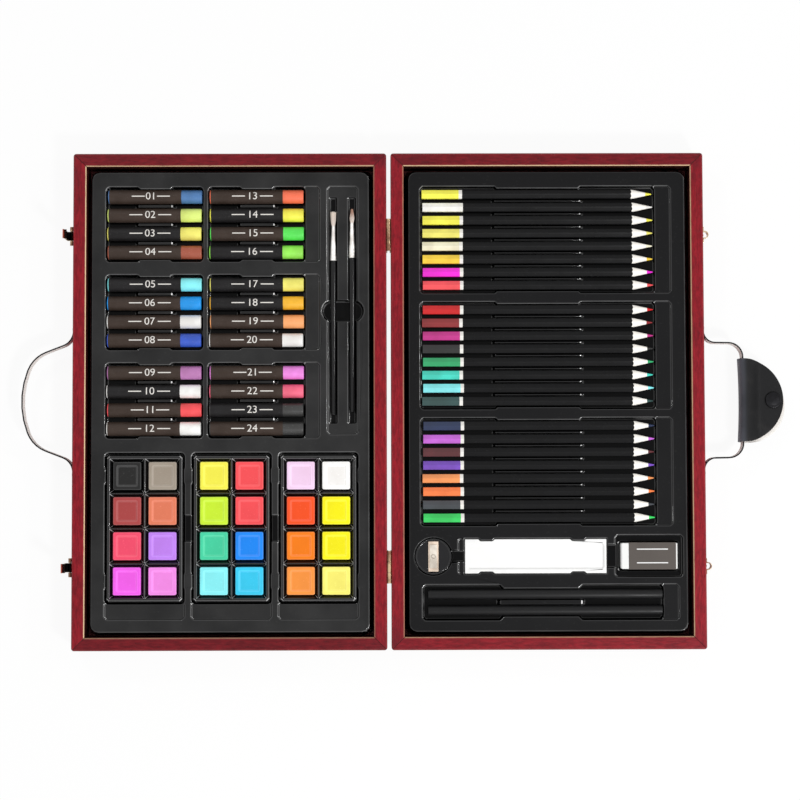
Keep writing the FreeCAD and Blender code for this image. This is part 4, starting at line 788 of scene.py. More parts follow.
def leather(name, tint, rough, depth, dark=0.75, fineness=1500.0):
    """Grained leather: small cells, creases between them, paler worn high spots, and a painted
    highlight along the grip's fold.
    """
    finish = Finish(name, Specular_IOR_Level=0.2)
    wiring = finish.wiring
    skin = finish.skin(500.0)
    cells = wiring.add("ShaderNodeTexVoronoi", {"Vector": finish.place, "Scale": fineness},
                       feature="DISTANCE_TO_EDGE").outputs["Distance"]
    crease = wiring.ramp(cells, 0.0, 0.16)
    dim = wiring.mix(crease, wiring.shaded(tint, grey(dark)), tint)
    rub = wiring.times(wiring.ramp(skin["Mottle"], 0.5, 0.8), 0.06)
    dim = wiring.mix(rub, dim, wiring.mix(0.5, tint, (0.3, 0.28, 0.27, 1.0)))
    # Painted highlight: bluish grey along the grip's fold.
    bent = wiring.times(finish.attribute("bent"), wiring.ramp(skin["Mottle"], 0.3, 0.6, 0.8, 1.0))
    finish.set("Base Color", wiring.mix(bent, dim, FOLD_HIGHLIGHT_GREY))
    finish.set("Roughness", wiring.ramp(crease, 0.0, 1.0, rough * 1.4, rough))
    finish.bump(crease, depth)
    return finish.material


def tinted(name, rough, size, depth, specular=0.5, dust=0.0):
    """A finish whose colour comes from the piece's own tint attribute."""
    finish = Finish(name, Specular_IOR_Level=specular)
    wiring = finish.wiring
    tint = finish.attribute("tint", "Color")
    skin = finish.skin(size)
    deep = wiring.shaded(tint, (0.82, 0.80, 0.78, 1.0))
    dim = wiring.mix(wiring.ramp(skin["Mottle"], 0.35, 0.65), deep, tint)
    finish.set("Base Color", wiring.mix(wiring.times(skin["Specks"], dust), dim,
                                        wiring.mix(0.4, tint, WHITE)))
    finish.set_rough(skin, rough * 0.85, rough * 1.15)
    finish.bump(skin["Grain"], depth)
    return finish.material


def scuffed_metal(name, tint, rough):
    """Cast or rolled metal with light scuffs."""
    finish = Finish(name, Metallic=1.0)
    wiring = finish.wiring
    skin = finish.skin(900.0)
    dim = wiring.mix(wiring.ramp(skin["Mottle"], 0.3, 0.7),
                     wiring.shaded(tint, (0.72, 0.70, 0.68, 1.0)), tint)
    finish.set("Base Color", dim)
    finish.set_rough(skin, rough * 0.8, rough * 1.25)
    finish.bump(skin["Grain"], 0.00002)
    return finish.material


# Each plain finish: what makes it, where its colour is kept, and its numbers.
PLAIN_FINISHES = {
    "box_plastic": (moulded, ("paints", "box"),
                    {"rough": 0.16, "size": 300.0, "specular": 0.22, "shine": 1.0}),
    "sharpener_plastic": (moulded, ("tools", "sharpener"),
                          {"rough": 0.3, "size": 500.0, "specular": 0.2, "shine": 0.8}),
    "white_plastic": (moulded, ("tools", "palette"), {"rough": 0.3, "size": 200.0}),
    "eraser_rubber": (moulded, ("tools", "rubber"),
                      {"rough": 0.7, "size": 600.0, "depth": 0.00004, "specular": 0.3}),
    "sleeve_print": (moulded, ("pastels", "print"),
                     {"rough": 0.5, "size": 700.0, "specular": 0.3}),
    "ring_paint": (moulded, ("pencils", "ring"), {"rough": 0.3, "size": 700.0}),
    "pencil_lacquer": (moulded, ("pencils", "barrel"),
                       {"rough": 0.3, "size": 500.0, "specular": 0.12}),
    "brush_lacquer": (moulded, ("brushes", "lacquer"),
                      {"rough": 0.14, "size": 500.0, "specular": 0.25}),
    "sketch_lacquer": (moulded, ("pencils", "barrel"),
                       {"rough": 0.45, "size": 500.0, "specular": 0.2}),
    "charcoal_core": (moulded, ("pencils", "charcoal"),
                      {"rough": 0.75, "size": 900.0, "depth": 0.00004, "specular": 0.25}),
    "leather": (leather, ("leather", "face"), {"rough": 0.52, "depth": 0.000012}),
    "leather_edge": (leather, ("leather", "edge"), {"rough": 0.6, "depth": 0.00003}),
    "suede": (leather, ("leather", "suede"),
              {"rough": 0.9, "depth": 0.00004, "dark": 0.72, "fineness": 2600.0}),
    "pastel_wax": (tinted, None, {"rough": 0.38, "size": 500.0, "depth": 0.00003,
                                  "specular": 0.4, "dust": 0.2}),
    "sleeve_paper": (tinted, None, {"rough": 0.45, "size": 700.0, "depth": 0.00002,
                                    "specular": 0.15, "dust": 0.1}),
    "dipped_lacquer": (tinted, None, {"rough": 0.22, "size": 500.0, "depth": 0.000008}),
    "coloured_lead": (tinted, None, {"rough": 0.55, "size": 900.0, "depth": 0.00003,
                                     "specular": 0.35, "dust": 0.15}),
    "blade_metal": (scuffed_metal, ("tools", "block"), {"rough": 0.5}),
    "blade_steel": (scuffed_metal, ("tools", "blade"), {"rough": 0.3}),
    "ferrule_metal": (scuffed_metal, ("brushes", "ferrule"), {"rough": 0.5}),
    "snap_metal": (scuffed_metal, ("leather", "snap"), {"rough": 0.3}),
}


def look_colour(group, name):
    """A colour that a user can change, as plain numbers."""
    return tuple(getattr(getattr(bpy.context.scene, "art_case_" + group), name))


@once
def plain(name):
    """The material of one plain finish."""
    build, kept_in, numbers = PLAIN_FINISHES[name]
    if kept_in:
        return build(name, look_colour(*kept_in), **numbers)
    return build(name, **numbers)


# ------------------------------------------------------------------ meshes
def mesh_from(name, shape):
    """A plain mesh with only the corners and faces of a bmesh, which is freed."""
    shape.verts.index_update()
    corners = [tuple(vertex.co) for vertex in shape.verts]
    faces = [[vertex.index for vertex in face.verts] for face in shape.faces]
    shape.free()
    mesh = bpy.data.meshes.new(name)
    mesh.from_pydata(corners, [], faces)
    mesh.update()
    return mesh


def object_from(name, mesh):
    thing = bpy.data.objects.new(name, mesh)
    bpy.context.scene.collection.objects.link(thing)
    return thing


def baked(thing):
    """The object with its modifiers made part of its mesh."""
    graph = bpy.context.evaluated_depsgraph_get()
    mesh = bpy.data.meshes.new_from_object(thing.evaluated_get(graph))
    thing.modifiers.clear()
    thing.data = mesh
    return thing


def smooth(thing, angle=35.0):
    mesh = thing.data
    mesh.polygons.foreach_set("use_smooth", [True] * len(mesh.polygons))
    mesh.set_sharp_from_angle(angle=math.radians(angle))
    return thing


def node_shape(node, join=False):
    """A CAD node as a bmesh, with its doubles merged and, if asked, its flat areas joined."""
    shape = bmesh.new()
    shape.from_mesh(frame["nodes"][node].data)
    bmesh.ops.remove_doubles(shape, verts=shape.verts, dist=WELD)
    if join:
        bmesh.ops.dissolve_limit(shape, angle_limit=math.radians(1.0), verts=shape.verts,
                                 edges=shape.edges)
    return shape


def islands(shape):
    """Each separate solid of a bmesh: its vertices, and its lowest and highest corner."""
    left, apart = set(shape.verts), []
    while left:
        start = next(iter(left))
        found, edge = {start}, [start]
        while edge:
            vertex = edge.pop()
            for link in vertex.link_edges:
                other = link.other_vert(vertex)
                if other not in found:
                    found.add(other)
                    edge.append(other)
        left -= found
        low, high = (Vector(pick(vertex.co[axis] for vertex in found) for axis in range(3))
                     for pick in (min, max))
        apart.append((found, low, high))
    return apart


def solids(node):
    """The lowest and highest corner of each separate solid of a CAD node."""
    shape = node_shape(node)
    boxes = [(low, high) for _, low, high in islands(shape)]
    shape.free()
    return boxes


def in_rows(boxes):
    """Boxes in reading order: row by row from the rear, and from left to right in a row."""
    return sorted(boxes, key=lambda box: (-round(box[0].y, 3), box[0].x))


def middle_of(box):
    low, high = box
    return tuple((low[axis] + high[axis]) / 2 for axis in range(3))


def scattered(boxes, seed, most):
    """The left end of each rod's axis, nudged along it by a little at random."""
    chance = random.Random(seed)
    return [(box[0].x + chance.uniform(-most, most), *middle_of(box)[1:]) for box in boxes]


def face_values(mesh, name, value_of):
    """Keeps a number for each face as an attribute of the mesh."""
    values = [value_of(face) for face in mesh.polygons]
    mesh.attributes.new(name, "FLOAT", "FACE").data.foreach_set("value", values)


def weigh_edges(thing, angle, share):
    """Says how much of the bevel each sharp edge gets, by its middle and the way it runs."""
    shape = bmesh.new()
    shape.from_mesh(thing.data)
    weight = shape.edges.layers.float.new("bevel_weight_edge")
    for edge in shape.edges:
        if len(edge.link_faces) == 2 and edge.calc_face_angle() > math.radians(angle):
            first, second = (vertex.co for vertex in edge.verts)
            edge[weight] = share((first + second) / 2, (second - first).normalized())
    shape.to_mesh(thing.data)
    shape.free()


def hardened(thing):
    """Keeps flat faces flat to the light, and lets only the bevels between them turn."""
    mesh = thing.data
    plain_at = [[] for _ in mesh.vertices]
    for face in mesh.polygons:
        if face.material_index != BEND:
            for corner in face.vertices:
                plain_at[corner].append((face.normal.copy(), face.area))
    turned_to = []
    for face in mesh.polygons:
        near = BEND_NEAR if face.material_index == BEND else FLAT_NEAR
        for corner in face.vertices:
            lean = Vector()
            for normal, area in plain_at[corner]:
                if normal.dot(face.normal) > near:
                    lean += normal * area
            if lean.length < NO_LEAN:
                lean = mesh.vertex_normals[corner].vector
            turned_to.append(lean.normalized())
    mesh.normals_split_custom_set(turned_to)


def softened(node, name, width, steps=2, angle=30.0, keep=None, join=False, share=None):
    """A copy of a CAD node, or of its solids that keep chooses, with its edges rounded."""
    shape = node_shape(node, join)
    if keep:
        for found, low, high in islands(shape):
            if not keep(low, high):
                bmesh.ops.delete(shape, geom=list(found), context="VERTS")
    thing = object_from(name, mesh_from(name, shape))
    for _ in range(BEND + 1):
        thing.data.materials.append(None)
    bevel = thing.modifiers.new("soft edges", "BEVEL")
    bevel.width = width
    bevel.segments = steps
    bevel.limit_method = "WEIGHT" if share else "ANGLE"
    bevel.angle_limit = math.radians(angle)
    if share:
        weigh_edges(thing, angle, share)
    bevel.use_clamp_overlap = join
    bevel.loop_slide = False
    bevel.miter_outer = "MITER_ARC"
    bevel.material = BEND
    baked(thing)
    thing.data.shade_smooth()
    hardened(thing)
    mesh = thing.data
    face_values(mesh, "wear", lambda face: float(face.material_index == BEND))
    mesh.polygons.foreach_set("material_index", [0] * len(mesh.polygons))
    return thing


def painted_glints(mesh, corners=0.0):
    """Keeps for each bend a painted glint: strongest where the bend faces the key lamp at the front
    right, and on diagonal corners when asked.
    """
    wear = mesh.attributes["wear"]

    def rub(face):
        lean = GLINT_MOST * max(face.normal.dot(GLINT_TOWARDS), 0.0) ** GLINT_FADE
        # Painted glint on diagonal corner bends that face upwards, as strong as corners asks.
        if min(abs(face.normal.x), abs(face.normal.y)) > 0.3 and face.normal.z > 0.1:
            lean = max(lean, corners)
        return wear.data[face.index].value * lean

    face_values(mesh, "rub", rub)


def dressed(thing, body, material, nodes=()):
    """Gives a finished piece its material, its body and the CAD nodes that it stands for."""
    thing.data.materials.clear()
    thing.data.materials.append(material)
    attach(thing, body)
    if nodes:
        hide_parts(*nodes)
    return thing


def joined(shape, first, second):
    """Faces between two rings of as many corners each."""
    for place, corner in enumerate(first):
        after = (place + 1) % len(first)
        shape.faces.new((corner, first[after], second[after], second[place]))


def circle(along, radius, sides):
    """Points in a ring about X."""
    return [Vector((along, radius * math.cos(turn), radius * math.sin(turn)))
            for turn in (math.tau * side / sides for side in range(sides))]


def sections(rings):
    """A closed bmesh through rings of as many points each, with a face over each end."""
    shape = bmesh.new()
    rows = [[shape.verts.new(point) for point in ring] for ring in rings]
    for first, second in zip(rows, rows[1:]):
        joined(shape, first, second)
    shape.faces.new(tuple(reversed(rows[0])))
    shape.faces.new(tuple(rows[-1]))
    bmesh.ops.remove_doubles(shape, verts=shape.verts, dist=WELD / 10)
    bmesh.ops.recalc_face_normals(shape, faces=shape.faces)
    return shape


def turned(profile, sides):
    """A bmesh turned about X from pairs of a place along X and a radius."""
    return sections([circle(along, radius, sides) for along, radius in profile])


def tube(start, end, inner, outer, sides, lip):
    """A bmesh of a short open tube about X with softened lips."""
    profile = [(start, inner), (start, outer - lip), (start + lip, outer),
               (end - lip, outer), (end, outer - lip), (end, inner)]
    shape = bmesh.new()
    rings = [[shape.verts.new(point) for point in circle(along, radius, sides)]
             for along, radius in profile]
    for first, second in zip(rings, rings[1:] + rings[:1]):
        joined(shape, first, second)
    bmesh.ops.recalc_face_normals(shape, faces=shape.faces)
    return shape


def rounded_end(along, radius, bend, way, steps=4):
    """The profile of an end that rounds over from a radius, facing way (-1 or 1) along X."""
    arc = [(along - way * bend * (1 - math.sin(turn)), radius - bend * (1 - math.cos(turn)))
           for turn in (math.pi / 2 * step / steps for step in range(steps + 1))]
    arc.append((along, CLOSED))
    return arc if way > 0 else arc[::-1]


# ------------------------------------------------------------------ geometry nodes
def set_input(modifier, name, value):
    for item in modifier.node_group.interface.items_tree:
        if item.item_type == "SOCKET" and item.in_out == "INPUT" and item.name == name:
            modifier[item.identifier] = value


def real_pieces(wiring, geometry, finish):
    """The end of a tree: copies made real, and their material."""
    real = wiring.add("GeometryNodeRealizeInstances", {"Geometry": geometry}).outputs[0]
    return wiring.add("GeometryNodeSetMaterial", {
        "Geometry": real, "Material": finish}).outputs[0]


@once
def repeat_tree():
    """Sets a copy of one piece on each point, turned by the point's turn."""
    wiring, given, made = new_group(
        "Repeat a piece", "GeometryNodeTree",
        [("Geometry", GEOMETRY, None), ("Piece", "NodeSocketObject", None),
         ("Size", FLOAT, 1.0), ("Finish", "NodeSocketMaterial", None)],
        [("Geometry", GEOMETRY)])
    piece = wiring.add("GeometryNodeObjectInfo", {"Object": given["Piece"]})
    turn = wiring.add("GeometryNodeInputNamedAttribute", {"Name": "turn"},
                      data_type="FLOAT_VECTOR").outputs["Attribute"]
    turned_by = wiring.add("FunctionNodeEulerToRotation", {"Euler": turn}).outputs[0]
    size = wiring.add("ShaderNodeCombineXYZ", {
        "X": given["Size"], "Y": given["Size"], "Z": given["Size"]}).outputs[0]
    copies = wiring.add("GeometryNodeInstanceOnPoints", {
        "Points": given["Geometry"], "Instance": piece.outputs["Geometry"],
        "Rotation": turned_by, "Scale": size}).outputs[0]
    wiring.feed(made["Geometry"], real_pieces(wiring, copies, given["Finish"]))
    return wiring.tree


def repeated(name, shape, places, material, tints=None, turns=None, angle=35.0):
    """One mesh of a shape set at each place, with a colour and a turn for each."""
    pattern = object_from(name + "_pattern", mesh_from(name + "_pattern", shape))
    points = bpy.data.meshes.new(name)
    points.from_pydata([tuple(place) for place in places], [], [])
    turn = points.attributes.new("turn", "FLOAT_VECTOR", "POINT")
    for number, value in enumerate(turns or [(0.0, 0.0, 0.0)] * len(places)):
        turn.data[number].vector = value
    if tints:
        tint = points.attributes.new("tint", "FLOAT_COLOR", "POINT")
        for number, value in enumerate(tints):
            tint.data[number].color = value
    thing = object_from(name, points)
    modifier = thing.modifiers.new("repeat", "NODES")
    modifier.node_group = repeat_tree()
    set_input(modifier, "Piece", pattern)
    set_input(modifier, "Finish", material)
    baked(thing)
    bpy.data.objects.remove(pattern)
    return smooth(thing, angle)


def set_out(name, shape, places, body, finish, slot=None, nodes=(), **more):
    """Copies of a shape as one dressed piece in a plain finish, or in a given material."""
    material = plain(finish) if isinstance(finish, str) else finish
    return dressed(repeated(name, shape, places, material, **more), body, material, nodes)


@once
def hair_tree():
    """A tuft of hairs along X that swells past its root and draws in to its tip's width."""
    wiring, given, made = new_group(
        "Brush hair", "GeometryNodeTree",
        [("Geometry", GEOMETRY, None), ("Hairs", "NodeSocketInt", 120),
         ("Length", FLOAT, 0.011), ("Root", FLOAT, 0.0012), ("Swell", FLOAT, 0.002),
         ("Tip", FLOAT, 0.0003), ("Thickness", FLOAT, 0.00011), ("Seed", "NodeSocketInt", 1),
         ("Finish", "NodeSocketMaterial", None)],
        [("Geometry", GEOMETRY)])

    def chance(low, high, step):
        seed = wiring.plus(given["Seed"], float(step))
        node = wiring.add("FunctionNodeRandomValue", {"Seed": seed}, data_type="FLOAT")
        node.inputs[2].default_value = low
        node.inputs[3].default_value = high
        return node.outputs[1]

    def stored(geometry, name, kind, value):
        node = wiring.add("GeometryNodeStoreNamedAttribute", {
            "Geometry": geometry, "Name": name}, data_type=kind, domain="POINT")
        wiring.feed(node.inputs["Value"], value)
        return node.outputs[0]

    def read(name, kind):
        return wiring.add("GeometryNodeInputNamedAttribute", {"Name": name},
                          data_type=kind).outputs["Attribute"]

    points = wiring.add("GeometryNodePoints", {"Count": given["Hairs"]}).outputs[0]
    ring = wiring.maths("SQRT", chance(0.0, 1.0, 0))
    turn = chance(0.0, math.tau, 7)
    spot = wiring.add("ShaderNodeCombineXYZ", {
        "Y": wiring.times(ring, wiring.maths("COSINE", turn)),
        "Z": wiring.times(ring, wiring.maths("SINE", turn))}).outputs[0]
    points = stored(points, "spot", "FLOAT_VECTOR", spot)
    points = stored(points, "shade", "FLOAT", chance(0.0, 1.0, 13))
    points = stored(points, "reach", "FLOAT", chance(0.86, 1.0, 21))
    line = wiring.add("GeometryNodeCurvePrimitiveLine", {"End": (1.0, 0.0, 0.0)}).outputs[0]
    line = wiring.add("GeometryNodeResampleCurve", {"Curve": line, "Count": 6}).outputs[0]
    hairs = wiring.add("GeometryNodeInstanceOnPoints", {
        "Points": points, "Instance": line}).outputs[0]
    hairs = wiring.add("GeometryNodeRealizeInstances", {"Geometry": hairs}).outputs[0]
    along = wiring.add("GeometryNodeSplineParameter").outputs["Factor"]
    hairs = stored(hairs, "along", "FLOAT", along)
    root, swell, tip = given["Root"], given["Swell"], given["Tip"]
    opens = wiring.times(wiring.ramp(along, 0.0, HAIR_WIDEST), wiring.minus(swell, root))
    closes = wiring.times(wiring.ramp(along, HAIR_WIDEST, 1.0), wiring.minus(swell, tip))
    wide = wiring.minus(wiring.plus(root, opens), closes)
    reach = wiring.times(wiring.times(along, read("reach", "FLOAT")), given["Length"])
    aside = wiring.add("ShaderNodeVectorMath", {"Vector": read("spot", "FLOAT_VECTOR"),
                                                "Scale": wide}, operation="SCALE").outputs[0]
    ahead = wiring.add("ShaderNodeCombineXYZ", {"X": reach}).outputs[0]
    hairs = wiring.add("GeometryNodeSetPosition", {
        "Geometry": hairs, "Position": wiring.vector_maths("ADD", aside, ahead)}).outputs[0]
    section = wiring.add("GeometryNodeCurvePrimitiveCircle", {
        "Resolution": 4, "Radius": given["Thickness"]}).outputs[0]
    solid = wiring.add("GeometryNodeCurveToMesh", {
        "Curve": hairs, "Profile Curve": section, "Fill Caps": True}).outputs[0]
    wiring.feed(made["Geometry"], real_pieces(wiring, solid, given["Finish"]))
    return wiring.tree


# ------------------------------------------------------------------ operators
class CaseOperator(bpy.types.Operator):
    """What the operators share."""

    bl_options = {"REGISTER", "UNDO"}


class ART_CASE_OT_rails(CaseOperator):
    """Stain the eight rails and the boards under the trays"""

    bl_idname = "art_case.rails"
    bl_label = "Rails and boards"

    def execute(self, context):
        look = context.scene.art_case_wood
        for half in HALVES:
            for side in SIDES:
                node = f"{half}_rail_{side}"
                rail = softened(node, f"{half}_stained_rail_{side}", look.soft_edge, 3, join=True)
                dressed(rail, half, stained_wood(half, side), [node])
            panel = frame["nodes"][f"{half}_panel"]
            panel.data.materials.clear()
            panel.data.materials.append(board())
        return {"FINISHED"}


class ART_CASE_OT_trays(CaseOperator):
    """Round the bends of the two formed trays and give them their black sheet"""

    bl_idname = "art_case.trays"
    bl_label = "Formed trays"

    # How far below the deck the pockets and walls start to be darkened with painted shade, and the
    # low webs lie.
    pocket_drop = 2.4 * MM
    wall_drop = 0.4 * MM
    web_drops = (0.5 * MM, 3.4 * MM)
    # A web's share of the bend, the width of its end, and how much painted glint each of its parts
    # keeps.
    web_bend = 0.4
    web_end = 4.0 * MM
    end_rub, face_rub, rest_rub = 1.0, 0.05, 0.1

    def execute(self, context):
        look = context.scene.art_case_tray
        for half in HALVES:
            node = f"{half}_tray"
            tray = softened(node, f"{half}_formed_tray", look.bend, 3, 20.0, share=self.share)
            # Marks the pockets, which the sheet darkens with painted shade.
            face_values(tray.data, "deep", self.depth)
            painted_glints(tray.data)
            self.paint_web_end_glints(tray.data)
            dressed(tray, half, tray_sheet(half), [node])
        return {"FINISHED"}

    def depth(self, face):
        """How far a face counts as a pocket's inside rather than the deck: the inside is darkened
        with painted shade.
        """
        drop = DECK - face.center.z
        wall = face.normal.z < 0.75 and drop > self.wall_drop
        return 1.0 if drop > self.pocket_drop or wall else 0.0

    def on_web(self, place):
        low, high = self.web_drops
        return low < DECK - place.z < high

    def share(self, place, run):
        """Less of a bend along the low webs between the sticks than on the rest of the sheet."""
        return self.web_bend if self.on_web(place) and abs(run.y) < 0.9 else 1.0

    def paint_web_end_glints(self, mesh):
        """Takes most of the painted glint off the webs' bends, keeping their long bends black, and
        paints a bright glint on their right ends.
        """
        rub = mesh.attributes["rub"]
        for number, face in enumerate(mesh.polygons):
            if self.on_web(face.center) and rub.data[number].value:
                rub.data[number].value *= self.rest_rub
                across = [mesh.vertices[corner].co.y for corner in face.vertices]
                if face.normal.x > 0.2 and abs(face.normal.y) < 0.5:
                    short = max(across) - min(across) < self.web_end
                    rub.data[number].value = self.end_rub if short else self.face_rub


def nail_shape(radius, rise):
    """A small domed nail head on X, with its foot at the origin."""
    steps = 5
    dome = [(0.0, radius)]
    for step in range(1, steps + 1):
        turn = math.pi / 2 * step / steps
        dome.append((rise * math.sin(turn), radius * max(math.cos(turn), 0.001)))
    return turned(dome, 16)


def slotted_shape(radius, rise):
    """A countersunk screw head on X with a straight slot, its foot at the origin."""
    shape = turned([(0.0, radius), (rise * 0.6, radius), (rise, radius * 0.8)], 20)
    half = radius * 0.16
    for side in (-half, half):
        bmesh.ops.bisect_plane(shape, geom=shape.verts[:] + shape.edges[:] + shape.faces[:],
                               plane_co=(0.0, side, 0.0), plane_no=(0.0, 1.0, 0.0))
    slot = [face for face in shape.faces
            if face.normal.x > 0.9 and abs(face.calc_center_median().y) < half]
    sunk = bmesh.ops.extrude_face_region(shape, geom=slot)
    bmesh.ops.delete(shape, geom=slot, context="FACES")
    for item in sunk["geom"]:
        if isinstance(item, bmesh.types.BMVert):
            item.co.x -= rise * 0.45
    bmesh.ops.recalc_face_normals(shape, faces=shape.faces)
    return shape


def facing_turn(facing, roll=0.0):
    """The turn that points a head on X outwards along X (1) or back along it (-1)."""
    return (roll, 0.0, 0.0 if facing > 0 else math.pi)


class ART_CASE_OT_hinges(CaseOperator):
    """Finish the two butt hinges and their screws"""

    bl_idname = "art_case.hinges"
    bl_label = "Hinges"

    leaf_sheet = 0.8 * MM
    screw_radius = 1.3 * MM
    screw_rise = 0.35 * MM
    slot_turn = 0.3
    pin_edge = 0.1 * MM
    # Where the screws stand: a share of half the leaf's length, and a height over its foot.
    screws = ((-0.62, 4.5 * MM), (0.0, 8.5 * MM), (0.62, 4.5 * MM))

    def execute(self, context):
        look = context.scene.art_case_metal
        for half, facing in (("base", 1), ("lid", -1)):
            places = []
            for number in PAIR:
                node = f"{half}_hinge_leaf_{number}"
                leaf = softened(node, f"{half}_leaf_{number}", look.soft_edge)
                dressed(leaf, half, brass(), [node])
                low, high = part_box(node)
                face = CENTRE_X[half] + facing * (HALF_WIDTH + self.leaf_sheet)
                for share, rise in self.screws:
                    places.append((face, (low.y + high.y) / 2 + share * (high.y - low.y) / 2,
                                   low.z + rise))
            set_out(f"{half}_leaf_screws", slotted_shape(self.screw_radius, self.screw_rise),
                    places, half, brass(), "brass",
                    turns=[facing_turn(facing, self.slot_turn * index)
                           for index in range(len(places))])
        for number in PAIR:
            node = f"hinge_pin_{number}"
            pin = softened(node, f"hinge_knuckle_pin_{number}", self.pin_edge)
            dressed(pin, body_of(frame["nodes"][node])[0], brass(), [node])
        return {"FINISHED"}


class ART_CASE_OT_latches(CaseOperator):
    """Finish the latches, their keepers and the nails that hold them"""

    bl_idname = "art_case.latches"
    bl_label = "Latches and keepers"

    plate_sheet = 0.7 * MM
    nail_rise = 0.4 * MM
    # A plate's nails: how far to each side of its middle, and how far above its foot.
    plate_nails = (4.6 * MM, 2.6 * MM)
    keeper_nail = 1.5 * MM
    # A lever's lip and side wall, and how far a face of its hollow leans inwards.
    lip = 1.3 * MM
    side_wall = 1.4 * MM
    inward = 0.4

    def execute(self, context):
        look = context.scene.art_case_metal
        face = HALF_WIDTH + self.plate_sheet
        nails, keeper_nails = [], []
        for number in PAIR:
            for node, body in ((f"latch_plate_{number}", "base"), (f"keeper_{number}", "lid"),
                               (f"latch_lever_{number}", f"latch_{number}")):
                piece = softened(node, f"brass_{node}", look.soft_edge)
                if body.startswith("latch"):
                    # Red lip, and painted shadow in the lever's hollow.
                    self.age(piece.data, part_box(node)[0])
                dressed(piece, body, brass(), [node])
            low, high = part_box(f"latch_plate_{number}")
            aside, rise = self.plate_nails
            for side in (-1, 1):
                nails.append((-face, (low.y + high.y) / 2 + side * aside, low.z + rise))
            low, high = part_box(f"keeper_{number}")
            keeper_nails.append((LID_X + face, (low.y + high.y) / 2, low.z + self.keeper_nail))
        for name, places, half, facing in (("latch_nails", nails, "base", -1),
                                           ("keeper_nails", keeper_nails, "lid", 1)):
            set_out(name, nail_shape(look.nail_radius, self.nail_rise), places, half, brass(),
                    "brass", turns=[facing_turn(facing)] * len(places))
        return {"FINISHED"}

    def age(self, mesh, low):
        """Keeps for each face how far its plating has gone, red on the lip, and paints the hollow
        black as shadow.
        """
        def aged(face):
            hollow = face.normal.z > self.inward or face.normal.x > self.inward
            if hollow and face.center.y > low.y + self.side_wall:
                return LIP_AGED if face.center.x < low.x + self.lip else 1.0
            return 0.0

        face_values(mesh, "aged", aged)


